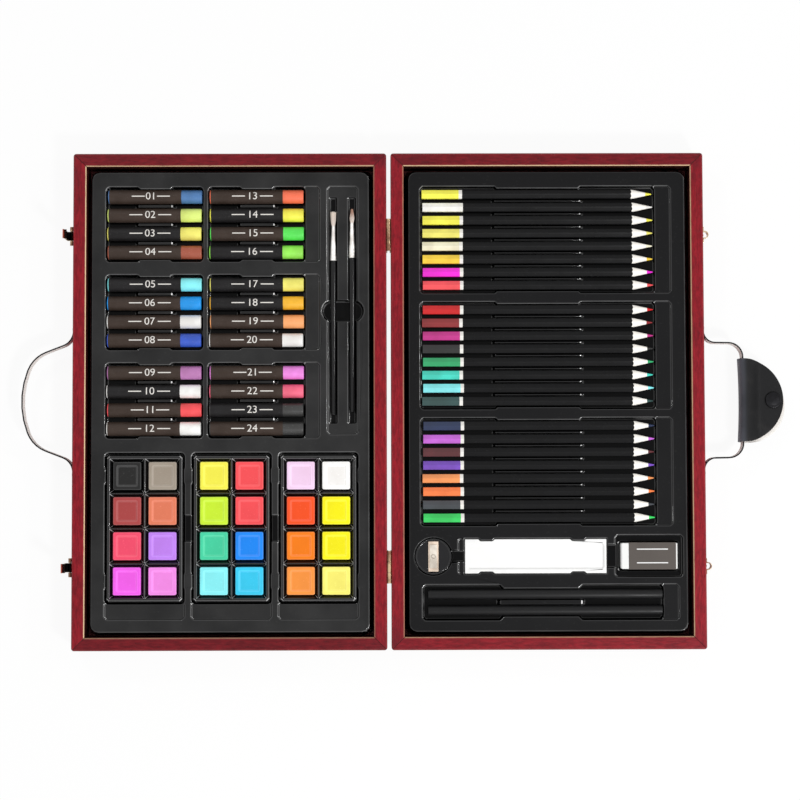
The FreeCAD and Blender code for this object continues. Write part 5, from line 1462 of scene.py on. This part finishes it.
class ART_CASE_OT_handles(CaseOperator):
    """Finish the leather straps, the folded grip and its snap"""

    bl_idname = "art_case.handles"
    bl_label = "Straps and grip"

    columns = 24
    fold_steps = 10
    tip_steps = 16
    fold_fullness = 0.77
    bow = 1.0 * MM
    # How far the lower flap slips out past the upper one, and over how many rolls the painted
    # highlight along the fold fades.
    slip = 1.2 * MM
    highlight_rolls = 1.6
    edge_share = 0.6
    edge_angle = 50.0
    strap_sheet = 1.2 * MM
    rivet_inset = 8 * MM
    rivet_rise = 0.9 * MM
    clear_of_case = 2.2 * MM
    stud_edge = 0.25 * MM
    # The snap's cap from its foot to its crown: shares of its height and of its radius.
    cap_profile = ((0.0, 0.96), (0.25, 1.0), (0.55, 0.97), (0.72, 0.88), (0.66, 0.78),
                   (0.8, 0.6), (0.93, 0.35), (1.0, 0.02))

    def execute(self, context):
        look = context.scene.art_case_leather
        for half in HALVES:
            node = f"{half}_strap"
            strap = softened(node, f"{half}_leather_strap", look.soft_edge * self.edge_share, 2,
                             40.0, join=True)
            dressed(strap, half, plain("leather"), [node])
            self.back_faces(strap, half)
        for side, node, body in ((-1, "grip_lower_flap", "lid"),
                                 (1, "grip_upper_flap", "grip_flap")):
            flap = self.flap(side, node, look)
            kinds = [face.material_index for face in flap.data.polygons]
            dressed(flap, body, plain("leather"), [node])
            flap.data.materials.append(plain("leather_edge"))
            flap.data.materials.append(plain("suede"))
            flap.data.polygons.foreach_set("material_index", kinds)
        self.rivets(look)
        self.snap()
        return {"FINISHED"}

    def fold_line(self, side, node, look):
        """Where a flap's sheet runs: up round the fold, down its slope and flat to the tip."""
        low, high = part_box(node)
        middle = (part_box("grip_lower_flap")[1].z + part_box("grip_upper_flap")[0].z) / 2
        heights = sorted((abs(low.z - middle), abs(high.z - middle)))
        rest, top = heights[0] + look.sheet / 2, heights[1] - look.sheet / 2
        start, flat = low.x + look.sheet / 2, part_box("snap_cap")[0].x - 2 * look.sheet
        radius = (high.y - low.y) / 2
        centre = high.x - radius
        line = []
        for step in range(self.fold_steps + 1):
            turn = math.pi / 2 * step / self.fold_steps
            line.append((
                start + look.roll * (1 - max(math.cos(turn), 0.0) ** self.fold_fullness),
                heights[0] + (top - heights[0]) * math.sin(turn) ** self.fold_fullness))
        for step in range(1, self.fold_steps + 1):
            share = step / self.fold_steps
            line.append((start + look.roll + (flat - start - look.roll) * share,
                         rest + (top - rest) * (1 + math.cos(math.pi * share)) / 2))
        turn = math.asin((flat - centre) / radius)
        for step in range(1, self.tip_steps + 1):
            share = step / self.tip_steps
            line.append((centre + radius * math.sin(turn + (math.pi / 2 - turn) * share), rest))
        return [(along, middle + side * height,
                 math.sqrt(max(radius ** 2 - max(along - centre, 0.0) ** 2, 0.0)))
                for along, height in line]

    def flap(self, side, node, look):
        """One flap of the grip: a soft sheet with a cut edge, a suede inside, and a painted
        highlight along its fold.
        """
        line = self.fold_line(side, node, look)
        start, end = line[0][0], line[-1][0]
        shape = bmesh.new()
        rows = []
        for along, height, half in line:
            share = (along - start) / (end - start)
            slip = share if side < 0 else 0.0
            row = []
            for column in range(self.columns + 1):
                across = half * (2 * column / self.columns - 1)
                bow = self.bow * (1 - (across / line[0][2]) ** 2) * (1 - share) ** 4
                row.append(shape.verts.new((along + bow + self.slip * slip,
                                            across - look.peep * slip, height)))
            rows.append(row)
        for first, second in zip(rows, rows[1:]):
            for column in range(self.columns):
                corners = (first[column], second[column], second[column + 1], first[column + 1])
                shape.faces.new(corners if side > 0 else corners[::-1])
        bmesh.ops.remove_doubles(shape, verts=shape.verts, dist=WELD)
        thing = object_from(f"leather_{node}", mesh_from(f"leather_{node}", shape))
        for _ in range(3):
            thing.data.materials.append(None)
        thick = thing.modifiers.new("thickness", "SOLIDIFY")
        thick.thickness, thick.offset, thick.use_even_offset = look.sheet, 0.0, True
        thick.material_offset, thick.material_offset_rim = 2, 1
        bevel = thing.modifiers.new("soft edges", "BEVEL")
        bevel.width, bevel.segments = look.soft_edge * self.edge_share, 2
        bevel.angle_limit = math.radians(self.edge_angle)
        baked(thing)
        # Painted highlight: strongest at the fold, fading out over highlight_rolls lengths of the
        # roll.
        bent = thing.data.attributes.new("bent", "FLOAT", "POINT")
        for number, vertex in enumerate(thing.data.vertices):
            share = (vertex.co.x - start + MM) / (look.roll * self.highlight_rolls)
            bent.data[number].value = max(1.0 - max(share, 0.0), 0.0) ** 1.5
        return smooth(thing, self.edge_angle)

    def back_faces(self, strap, half):
        """Shows the strap's suede where it faces the case, and its black face elsewhere."""
        strap.data.materials.append(plain("suede"))
        inward = 1.0 if half == "base" else -1.0
        for face in strap.data.polygons:
            clear = abs(face.center.x - CENTRE_X[half]) > HALF_WIDTH + self.clear_of_case
            towards = face.normal.x * inward
            round_a_bend = face.normal.y * face.center.y < 0
            if clear and abs(face.normal.z) < 0.5 and (towards > 0.35 or (
                    towards > -0.2 and round_a_bend)):
                face.material_index = 1

    def rivets(self, look):
        """Puts a rivet through each foot of each strap."""
        for half, facing in (("base", -1), ("lid", 1)):
            low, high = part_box(f"{half}_strap")
            face = CENTRE_X[half] + facing * (HALF_WIDTH + self.strap_sheet)
            places = [(face, side * (high.y - self.rivet_inset), (low.z + high.z) / 2)
                      for side in (-1, 1)]
            set_out(f"{half}_strap_rivets", nail_shape(look.rivet_radius, self.rivet_rise), places,
                    half, "snap_metal", "snap_metal", turns=[facing_turn(facing)] * len(places))

    def snap(self):
        low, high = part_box("snap_cap")
        radius, rise = (high.x - low.x) / 2, high.z - low.z
        profile = [(rise * up, radius * out) for up, out in self.cap_profile]
        place = (*middle_of((low, high))[:2], low.z)
        set_out("snap_domed_cap", turned(profile, 48), [place], "grip_flap", "snap_metal",
                "snap_metal", ["snap_cap"], turns=[UPRIGHT], angle=60)
        stud = softened("snap_stud", "snap_turned_stud", self.stud_edge, 2)
        dressed(stud, body_of(frame["nodes"]["snap_stud"])[0], plain("snap_metal"),
                ["snap_stud"])


class ART_CASE_OT_pastels(CaseOperator):
    """Make the oil pastels, their paper sleeves and the numbers on them"""

    bl_idname = "art_case.pastels"
    bl_label = "Oil pastels"

    slide = 0.45 * MM
    facets = 40
    foot_bend = 0.5 * MM
    end_bend = 0.9 * MM
    # How far the sleeve goes into the stick, how far its lips round, and how high the ink is.
    sunk = 0.1 * MM
    lip = 0.08 * MM
    ink_rise = 0.03 * MM

    def execute(self, context):
        look = context.scene.art_case_pastels
        first = 1
        for side in ("left", "right"):
            boxes = in_rows(solids(f"pastels_{side}"))
            self.row(look, side, boxes, first)
            first += len(boxes)
        return {"FINISHED"}

    def row(self, look, side, boxes, first):
        node = body = f"pastels_{side}"
        low, high = boxes[0]
        radius = (high.y - low.y) / 2
        wax_radius = radius - look.paper
        places = scattered(boxes, side, self.slide)
        wax = turned(rounded_end(0.0, wax_radius, self.foot_bend, -1)
                     + rounded_end(high.x - low.x, wax_radius, self.end_bend, 1), self.facets)
        set_out(f"{body}_sticks", wax, places, body, "pastel_wax", None, [node],
                tints=[CRAYON[name] for name in PASTEL_COLOURS[side]])
        chance = random.Random(side)
        sleeves = tube(look.sleeve_start, look.sleeve_start + look.sleeve_length,
                       wax_radius - self.sunk, radius, self.facets, self.lip)
        shades = [tuple(chance.choice((look.sleeve, look.sleeve_brown, look.sleeve_brown)))
                  for _ in boxes]
        set_out(f"{body}_sleeves", sleeves, places, body, "sleeve_paper", "pastel_sleeve",
                tints=shades)
        ink = sleeve_print(f"{body}_print", places, first, radius + self.ink_rise, look)
        dressed(ink, body, plain("sleeve_print"))


# The marks on the sleeves: the gap beside a number, half a line's width, the number's place as
# a share of the sleeve, the strips that bend round the stick, and the ink's thickness.
MARK_GAP = 2.2 * MM
HALF_LINE = 0.4 * MM
MARK_PLACE = 0.58
MARK_STRIPS = 9
INK = 0.04 * MM


def text_mesh(words, height):
    """Plain figures as a flat mesh, centred, in metres."""
    curve = bpy.data.curves.new(words, "FONT")
    curve.body = words
    curve.size = height / DIGIT_SHARE
    curve.align_x = "CENTER"
    curve.align_y = "CENTER"
    holder = object_from(words, curve)
    mesh = bpy.data.meshes.new_from_object(
        holder.evaluated_get(bpy.context.evaluated_depsgraph_get()))
    bpy.data.objects.remove(holder)
    return mesh


def sleeve_mark(number, look):
    """A number with a line on each side as a flat bmesh, cut across so that it can bend."""
    mark = bmesh.new()
    mark.from_mesh(text_mesh(f"{number:02d}", look.digit))
    width = max(vertex.co.x for vertex in mark.verts)
    for side in (-1, 1):
        start = side * (width + MARK_GAP)
        bar = [mark.verts.new((start + side * look.line * end, rise, 0.0))
               for end, rise in ((0, -HALF_LINE), (1, -HALF_LINE), (1, HALF_LINE), (0, HALF_LINE))]
        mark.faces.new(bar)
    for cut in range(1, MARK_STRIPS):
        level = look.digit * (cut / MARK_STRIPS - 0.5)
        bmesh.ops.bisect_plane(mark, geom=mark.verts[:] + mark.edges[:] + mark.faces[:],
                               plane_co=(0.0, level, 0.0), plane_no=(0.0, 1.0, 0.0))
    return mark


def sleeve_print(name, places, first, radius, look):
    """The marks of a set of sleeves, wrapped round their sticks."""
    shape = bmesh.new()
    middle = look.sleeve_start + look.sleeve_length * MARK_PLACE
    for number, place in enumerate(places, first):
        mark = sleeve_mark(number, look)
        for vertex in mark.verts:
            turn = vertex.co.y / radius
            vertex.co = Vector((place[0] + middle + vertex.co.x,
                                place[1] + radius * math.sin(turn),
                                place[2] + radius * math.cos(turn)))
        for face in mark.faces:
            face.normal_update()
            if face.normal.z < 0:
                face.normal_flip()
        flat = bpy.data.meshes.new("mark")
        mark.to_mesh(flat)
        mark.free()
        shape.from_mesh(flat)
        bpy.data.meshes.remove(flat)
    thing = object_from(name, mesh_from(name, shape))
    solid = thing.modifiers.new("ink", "SOLIDIFY")
    solid.thickness = INK
    solid.offset = -1
    return baked(thing)


class ART_CASE_OT_brushes(CaseOperator):
    """Turn the brush handles and crimped ferrules, and set the hair"""

    bl_idname = "art_case.brushes"
    bl_label = "Brushes"

    facets = 28
    foot = 1.4 * MM
    foot_bend = 0.9 * MM
    tucked = 0.4 * MM
    ferrule_end = 1.3 * MM
    # The handle's swell: shares of its length and of its greatest radius.
    swell = ((0.25, 0.72), (0.55, 0.86), (0.8, 0.98), (0.93, 1.0), (1.0, 0.94))
    # A crimp in the ferrule: where it starts, is deepest and ends, and how deep, in millimetres.
    crimp = ((0.0, 0.0), (0.35, 0.16), (0.7, 0.0))
    crimps = 3
    first_crimp = 1.5
    crimp_gap = 2.4
    hair_root = 1.2 * MM
    slimmer = 0.1 * MM
    tip_radius = {FLAT_BRUSH: 2.15 * MM, ROUND_BRUSH: 0.8 * MM}

    def execute(self, context):
        look = context.scene.art_case_brushes
        for number in PAIR:
            body = f"brush_{number}"
            handle, head = sorted(solids(body), key=lambda box: box[0].y)
            across, _, level = middle_of(handle)
            hair_start = head[1].y - look.hair_length
            self.handle(body, handle, across, level)
            self.ferrule(body, head, hair_start, across, level)
            self.hair(look, body, number, (across, hair_start - self.tucked, level))
        return {"FINISHED"}

    def handle(self, body, box, across, level):
        low, high = box
        length = high.y - low.y
        widest = (high.x - low.x) / 2
        profile = rounded_end(0.0, self.foot, self.foot_bend, -1)
        profile += [(length * share, widest * radius) for share, radius in self.swell]
        profile.append((length, CLOSED))
        set_out(f"{body}_handle", turned(profile, self.facets), [(across, low.y, level)], body,
                "brush_lacquer", "brush_lacquer", [body], turns=[TO_THE_REAR], angle=50)

    def ferrule(self, body, head, end, across, level):
        low, high = head
        root = (high.x - low.x) / 2
        length = end - low.y
        draw = self.ferrule_end - root
        profile = [(0.0, CLOSED), (0.0, root)]
        for ring in range(self.crimps):
            for step, dip in self.crimp:
                along = (self.first_crimp + self.crimp_gap * ring + step) * MM
                profile.append((along, root + draw * along / length - dip * MM))
        profile += [(length * share, root + draw * share) for share in (0.5, 0.8, 1.0)]
        profile.append((length, CLOSED))
        set_out(f"{body}_ferrule", turned(profile, self.facets), [(across, low.y, level)], body,
                "ferrule_metal", turns=[TO_THE_REAR], angle=50)

    def hair(self, look, body, number, place):
        thing = object_from(f"{body}_hair", bpy.data.meshes.new(f"{body}_hair"))
        modifier = thing.modifiers.new("hair", "NODES")
        modifier.node_group = hair_tree()
        for name, value in (("Hairs", look.hairs), ("Length", look.hair_length + self.tucked),
                            ("Root", self.hair_root),
                            ("Swell", look.swell - self.slimmer * number),
                            ("Tip", self.tip_radius[number]), ("Seed", number),
                            ("Finish", brush_hair(number))):
            set_input(modifier, name, value)
        baked(thing)
        turn = Matrix.Rotation(TO_THE_REAR[2], 4, "Z")
        thing.data.transform(Matrix.Translation(place) @ turn)
        dressed(smooth(thing, 80), body, brush_hair(number))


class ART_CASE_OT_paints(CaseOperator):
    """Finish the paint boxes and colour their cakes"""

    bl_idname = "art_case.paints"
    bl_label = "Paint boxes"

    # Painted glint on the boxes' diagonal corner bends, as the X marks where the ridges meet.
    corner_glint = 0.6
    dish_depth = 0.2 * MM
    # How much of the rounding the edges at a cake's top and foot get.
    top_share, foot_share = 0.5, 0.18
    level = 0.05 * MM

    def execute(self, context):
        look = context.scene.art_case_paints
        for number in TRIO:
            body = f"paints_{number}"
            node = f"paint_box_{number}"
            box = softened(node, f"{body}_moulded_box", look.box_edge, 3, 20.0)
            # Painted glints on the box's bends that face the key lamp and on its diagonal corners.
            painted_glints(box.data, self.corner_glint)
            dressed(box, body, plain("box_plastic"), [node])
            node = f"paint_cakes_{number}"
            low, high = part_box(node)
            cakes = softened(node, f"{body}_cakes", look.cake_corner, 4, 15.0,
                             share=lambda place, run: self.share(place, low.z, high.z))
            self.tint(cakes.data, in_rows(solids(node)), CAKE_COLOURS[number])
            dressed(cakes, body, paint_cake(), [node])
        return {"FINISHED"}

    def share(self, place, low, high):
        """How much of the rounding an edge gets: most at a corner, less at the top and foot."""
        if low + MM < place.z < high - MM:
            return 1.0
        return self.top_share if abs(place.z - high) < self.level else self.foot_share

    def tint(self, mesh, boxes, names):
        tint = mesh.attributes.new("tint", "FLOAT_COLOR", "POINT")
        for place, vertex in enumerate(mesh.vertices):
            near = min(range(len(boxes)), key=lambda index: math.dist(
                middle_of(boxes[index])[:2], vertex.co.xy))
            tint.data[place].color = CRAYON[names[near]]
        # Marks the dish, which the cake's finish darkens with painted shade.
        dish = boxes[0][1].z - self.dish_depth
        face_values(mesh, "dish", lambda face: float(face.center.z < dish))


# A hexagon's flat as a share of its corner, and how much of a corner its rounding leaves.
FLAT_SHARE = math.cos(math.radians(30))
CORNER_KEPT = 0.975


def hexagon(turn, flat):
    """The radius of a hexagon with slightly rounded corners, flats up and down."""
    off = abs((math.degrees(turn) % 60) - 30)
    corner = flat / FLAT_SHARE * CORNER_KEPT
    return min(flat / math.cos(math.radians(30 - off)), corner)


def hexagon_ring(along, flat, share=1.0, limit=None):
    """A ring of the pencil's section at one place, or along a rule of the radius."""
    ring = []
    for turn in PENCIL_TURNS:
        radius = hexagon(turn, flat) * share
        if limit:
            radius = min(radius, limit)
        place = along(radius) if callable(along) else along
        ring.append(Vector((place, radius * math.cos(turn), radius * math.sin(turn))))
    return ring


class ART_CASE_OT_pencils(CaseOperator):
    """Make the coloured pencils: dipped ends, rings, barrels, cut wood and leads"""

    bl_idname = "art_case.pencils"
    bl_label = "Coloured pencils"

    slide = 0.5 * MM
    cone = 16.5 * MM
    tip = 0.3 * MM
    dip_bend = 1.3 * MM
    dip_draw = 0.35
    overlap = 0.02 * MM
    lead_overlap = 0.01 * MM
    lead_tip = 0.12 * MM
    # Shares of the radius: the ring's, a part's hidden end, a closed end, and the cone's middle.
    ring_stands = 1.006
    inner = 0.5
    point = 0.02
    mid_cone = 0.6

    def execute(self, context):
        look = context.scene.art_case_pencils
        for number in TRIO:
            self.row(look, number)
        return {"FINISHED"}

    def row(self, look, number):
        node = body = f"pencils_{number}"
        boxes = in_rows(solids(node))
        low, high = boxes[0]
        length = high.x - low.x
        flat = (high.z - low.z) / 2
        places = scattered(boxes, body, self.slide)
        tints = [CRAYON[name] for name in PENCIL_COLOURS[number]]
        corner = flat / FLAT_SHARE
        slope = self.cone / (corner - self.tip)
        lead_radius = self.tip + look.lead / slope

        def on_cone(radius):
            return length - (radius - self.tip) * slope

        start = look.dip + look.ring_width
        root = on_cone(corner)

        def paint_line(radius):
            """Where the lacquer ends: close to straight, with shallow scallops."""
            return root + (on_cone(radius) - root) * look.scallop

        set_out(f"{body}_dipped_ends", self.dipped_end(look, flat), places, body, "dipped_lacquer",
                f"pencil_lacquer_{number}", [node], tints=tints)
        ring = sections([hexagon_ring(look.dip - self.overlap, flat, self.inner),
                         hexagon_ring(look.dip, flat, self.ring_stands),
                         hexagon_ring(start, flat, self.ring_stands),
                         hexagon_ring(start + self.overlap, flat, self.inner)])
        set_out(f"{body}_rings", ring, places, body, "ring_paint")
        barrel = sections([hexagon_ring(start, flat, self.inner), hexagon_ring(start, flat),
                           hexagon_ring(paint_line, flat), hexagon_ring(root, flat, self.inner)])
        set_out(f"{body}_barrels", barrel, places, body, "pencil_lacquer", angle=24)
        cut = sections([hexagon_ring(root, flat, self.inner), hexagon_ring(paint_line, flat),
                        hexagon_ring(on_cone, flat),
                        hexagon_ring(on_cone, flat, 1.0, corner * self.mid_cone),
                        hexagon_ring(on_cone, flat, 1.0, lead_radius),
                        hexagon_ring(on_cone(lead_radius), flat, self.point)])
        set_out(f"{body}_cut_wood", cut, places, body, sharpened_wood(), angle=50)
        lead = turned([(length - look.lead - self.lead_overlap, CLOSED),
                       (length - look.lead, lead_radius + self.lead_overlap),
                       (length - 0.5 * MM, self.tip * 1.6), (length, self.lead_tip)], 16)
        set_out(f"{body}_leads", lead, places, body, "coloured_lead", tints=tints, angle=60)

    def dipped_end(self, look, flat):
        """The coloured end, rounded over where it was dipped."""
        steps = 4
        rings = [hexagon_ring(0.0, flat, self.point)]
        for step in range(steps + 1):
            level = 1 - math.sin(math.pi / 2 * step / steps)
            rings.append(hexagon_ring(self.dip_bend * level, flat,
                                      1 - self.dip_draw * level ** 1.5))
        rings.append(hexagon_ring(look.dip, flat))
        return sections(rings)


class ART_CASE_OT_sketch_pencils(CaseOperator):
    """Turn the two round sketching pencils"""

    bl_idname = "art_case.sketch_pencils"
    bl_label = "Sketching pencils"

    core = 1.6 * MM
    bend = 0.5 * MM
    # The core's end: places along it from the barrel's end, and shares of its radius.
    core_end = ((-0.02 * MM, 0.9), (0.05 * MM, 0.95))

    def execute(self, context):
        for number in PAIR:
            body = f"sketch_pencil_{number}"
            low, high = min(solids(body), key=lambda box: box[0].z)
            length = high.x - low.x
            radius = (high.y - low.y) / 2
            place = (low.x, *middle_of((low, high))[1:])
            profile = [(0.0, self.core), *rounded_end(0.0, radius, self.bend, -1)[1:],
                       *rounded_end(length, radius, self.bend, 1)[:-1], (length, self.core)]
            set_out(f"{body}_barrel", turned(profile, 40), [place], body, "sketch_lacquer",
                    "sketch_lacquer", [body])
            stub = [(along, self.core * share) for along, share in self.core_end]
            stub += [(length - along, share) for along, share in reversed(stub)]
            set_out(f"{body}_core", turned(stub, 20), [place], body, "charcoal_core")
        return {"FINISHED"}


class ART_CASE_OT_sharpener(CaseOperator):
    """Finish the sharpener, its metal block, blade and screw"""

    bl_idname = "art_case.sharpener"
    bl_label = "Sharpener"

    shell_edge = 0.3 * MM
    block_edge = 0.25 * MM
    blade_edge = 0.08 * MM
    slot_turn = 0.6
    near = 0.1 * MM

    def execute(self, context):
        body = "sharpener"
        shell = softened(body, "sharpener_shell", self.shell_edge, 3, 28.0)
        dressed(shell, body, plain("sharpener_plastic"), [body])
        node = "sharpener_blade"
        block, blade, screw = sorted(solids(node), key=lambda box: -(box[1] - box[0]).length)

        def only(chosen):
            return lambda low, high: (low - chosen[0]).length < self.near

        cast = softened(node, "sharpener_block", self.block_edge, 2, keep=only(block))
        dressed(cast, body, plain("blade_metal"), [node])
        steel = softened(node, "sharpener_steel_blade", self.blade_edge, 1,
                         keep=only(blade))
        dressed(steel, body, plain("blade_steel"))
        low, high = screw
        set_out("sharpener_blade_screw", slotted_shape((high.x - low.x) / 2, high.z - low.z),
                [(*middle_of(screw)[:2], low.z)], body, "blade_steel",
                turns=[(*UPRIGHT[:2], self.slot_turn)])
        return {"FINISHED"}


class ART_CASE_OT_palette(CaseOperator):
    """Finish the white mixing palette"""

    bl_idname = "art_case.palette"
    bl_label = "Mixing palette"

    def execute(self, context):
        look = context.scene.art_case_tools
        node = body = "mixing_palette"
        palette = softened(node, "white_mixing_palette", look.soft_edge, 3, 28.0)
        dressed(palette, body, plain("white_plastic"), [node])
        return {"FINISHED"}


class ART_CASE_OT_eraser(CaseOperator):
    """Finish the eraser and its card sleeve"""

    bl_idname = "art_case.eraser"
    bl_label = "Eraser"

    card_edge = 0.18 * MM

    def execute(self, context):
        look = context.scene.art_case_tools
        rubber = softened("eraser", "eraser_rubber_block", look.soft_edge, 3)
        dressed(rubber, "eraser", plain("eraser_rubber"), ["eraser"])
        sleeve = softened("eraser_sleeve", "eraser_card_sleeve", self.card_edge, 3)
        dressed(sleeve, "eraser", sleeve_card(), ["eraser_sleeve"])
        return {"FINISHED"}


class ART_CASE_OT_stage(CaseOperator):
    """Set out the floor, the lamps and the camera"""

    bl_idname = "art_case.stage"
    bl_label = "Stage"

    # Each lamp: where it stands from the middle of the open case, its size, and its power.
    lamps = (
        ("key_lamp", (0.8, -0.9, 1.4), 0.26, "key"),
        ("side_lamp", (1.5, 0.2, 1.2), 0.14, "side"),
        ("rear_lamp", (-0.9, 1.1, 1.4), 0.2, "side"),
    )
    sensor = 36.0
    far = 20.0
    half_floor = 4.0
    floor_drop = 0.05 * MM
    floor_glow = 0.92

    def execute(self, context):
        look = context.scene.art_case_stage
        context.scene.view_settings.view_transform = "Standard"
        self.world(look)
        self.floor(look)
        for name, offset, size, power in self.lamps:
            self.lamp(name, Vector(offset), size, getattr(look, power))
        eye = bpy.data.cameras.new("camera")
        eye.lens = look.lens
        eye.sensor_width = self.sensor
        eye.clip_end = self.far
        camera = object_from("camera", eye)
        camera.location = look.camera_place
        camera.rotation_euler = look.camera_turn
        context.scene.camera = camera
        return {"FINISHED"}

    def lamp(self, name, offset, size, power):
        light = bpy.data.lights.new(name, "AREA")
        light.shape = "SQUARE"
        light.size = size
        light.energy = power
        lamp = object_from(name, light)
        lamp.location = Vector((LID_X / 2, 0.0, 0.0)) + offset
        lamp.rotation_euler = (-offset).to_track_quat("-Z", "Y").to_euler()

    def seen(self, wiring):
        """One where the picture, a reflection or glass looks at a surface."""
        path = wiring.add("ShaderNodeLightPath").outputs
        seen = wiring.plus(path["Is Camera Ray"], path["Is Glossy Ray"])
        return wiring.maths("ADD", seen, path["Is Transmission Ray"], clamp=True)

    def world(self, look):
        sky = bpy.data.worlds.new("studio")
        bpy.context.scene.world = sky
        sky.use_nodes = True
        wiring = Wiring(sky.node_tree)
        strength = wiring.plus(wiring.times(self.seen(wiring), 1.0 - look.world), look.world)
        back = sky.node_tree.nodes["Background"]
        back.inputs["Color"].default_value = WHITE
        wiring.feed(back.inputs["Strength"], strength)

    def floor(self, look):
        sheet = bpy.data.meshes.new("floor")
        half = self.half_floor
        sheet.from_pydata([(-half, -half, 0), (half, -half, 0), (half, half, 0), (-half, half, 0)],
                          [], [(0, 1, 2, 3)])
        floor = object_from("floor", sheet)
        floor.data.transform(Matrix.Translation((LID_X / 2, 0.0, -self.floor_drop)))
        finish = Finish("floor", Roughness=0.8, Specular_IOR_Level=0.1)
        wiring = finish.wiring
        grain = wiring.noise(finish.place, 30.0)
        tint = wiring.mix(wiring.times(grain, 0.02), tuple(look.floor), grey(0.8))
        finish.set("Base Color", tint)
        glow = wiring.add("ShaderNodeEmission", {"Color": WHITE, "Strength": 1.0}).outputs[0]
        shown = wiring.add("ShaderNodeMixShader", {
            0: wiring.times(self.seen(wiring), self.floor_glow)})
        wiring.feed(shown.inputs[1], finish.shader.outputs[0])
        wiring.feed(shown.inputs[2], glow)
        out = finish.material.node_tree.nodes["Material Output"]
        wiring.feed(out.inputs["Surface"], shown.outputs[0])
        floor.data.materials.append(finish.material)


class ART_CASE_PT_panel(bpy.types.Panel):
    """Lists the art case's pieces and what can be changed on them"""

    bl_label = "Art case"
    bl_idname = "ART_CASE_PT_panel"
    bl_space_type = "VIEW_3D"
    bl_region_type = "UI"
    bl_category = "Art case"

    def draw(self, context):
        for operator in OPERATORS:
            self.layout.operator(operator.bl_idname)
        for name, group in LOOKS.items():
            box = self.layout.box()
            box.label(text=name.replace("art_case_", "").capitalize())
            for title in group.__annotations__:
                box.prop(getattr(context.scene, name), title)


LOOKS = {
    "art_case_wood": ArtCaseWood,
    "art_case_tray": ArtCaseTray,
    "art_case_metal": ArtCaseMetal,
    "art_case_leather": ArtCaseLeather,
    "art_case_pastels": ArtCasePastels,
    "art_case_brushes": ArtCaseBrushes,
    "art_case_paints": ArtCasePaints,
    "art_case_pencils": ArtCasePencils,
    "art_case_tools": ArtCaseTools,
    "art_case_stage": ArtCaseStage,
}
OPERATORS = (
    ART_CASE_OT_stage,
    ART_CASE_OT_rails,
    ART_CASE_OT_trays,
    ART_CASE_OT_hinges,
    ART_CASE_OT_latches,
    ART_CASE_OT_handles,
    ART_CASE_OT_pastels,
    ART_CASE_OT_brushes,
    ART_CASE_OT_paints,
    ART_CASE_OT_pencils,
    ART_CASE_OT_sketch_pencils,
    ART_CASE_OT_sharpener,
    ART_CASE_OT_palette,
    ART_CASE_OT_eraser,
)


def register():
    for kind in (*LOOKS.values(), *OPERATORS, ART_CASE_PT_panel):
        bpy.utils.register_class(kind)
    for name, group in LOOKS.items():
        setattr(bpy.types.Scene, name, bpy.props.PointerProperty(type=group))


def unregister():
    for name in LOOKS:
        delattr(bpy.types.Scene, name)
    for kind in (ART_CASE_PT_panel, *reversed(OPERATORS), *reversed(LOOKS.values())):
        bpy.utils.unregister_class(kind)


def main():
    register()
    for operator in OPERATORS:
        group, name = operator.bl_idname.split(".")
        getattr(getattr(bpy.ops, group), name)()


if __name__ == "__main__":
    main()
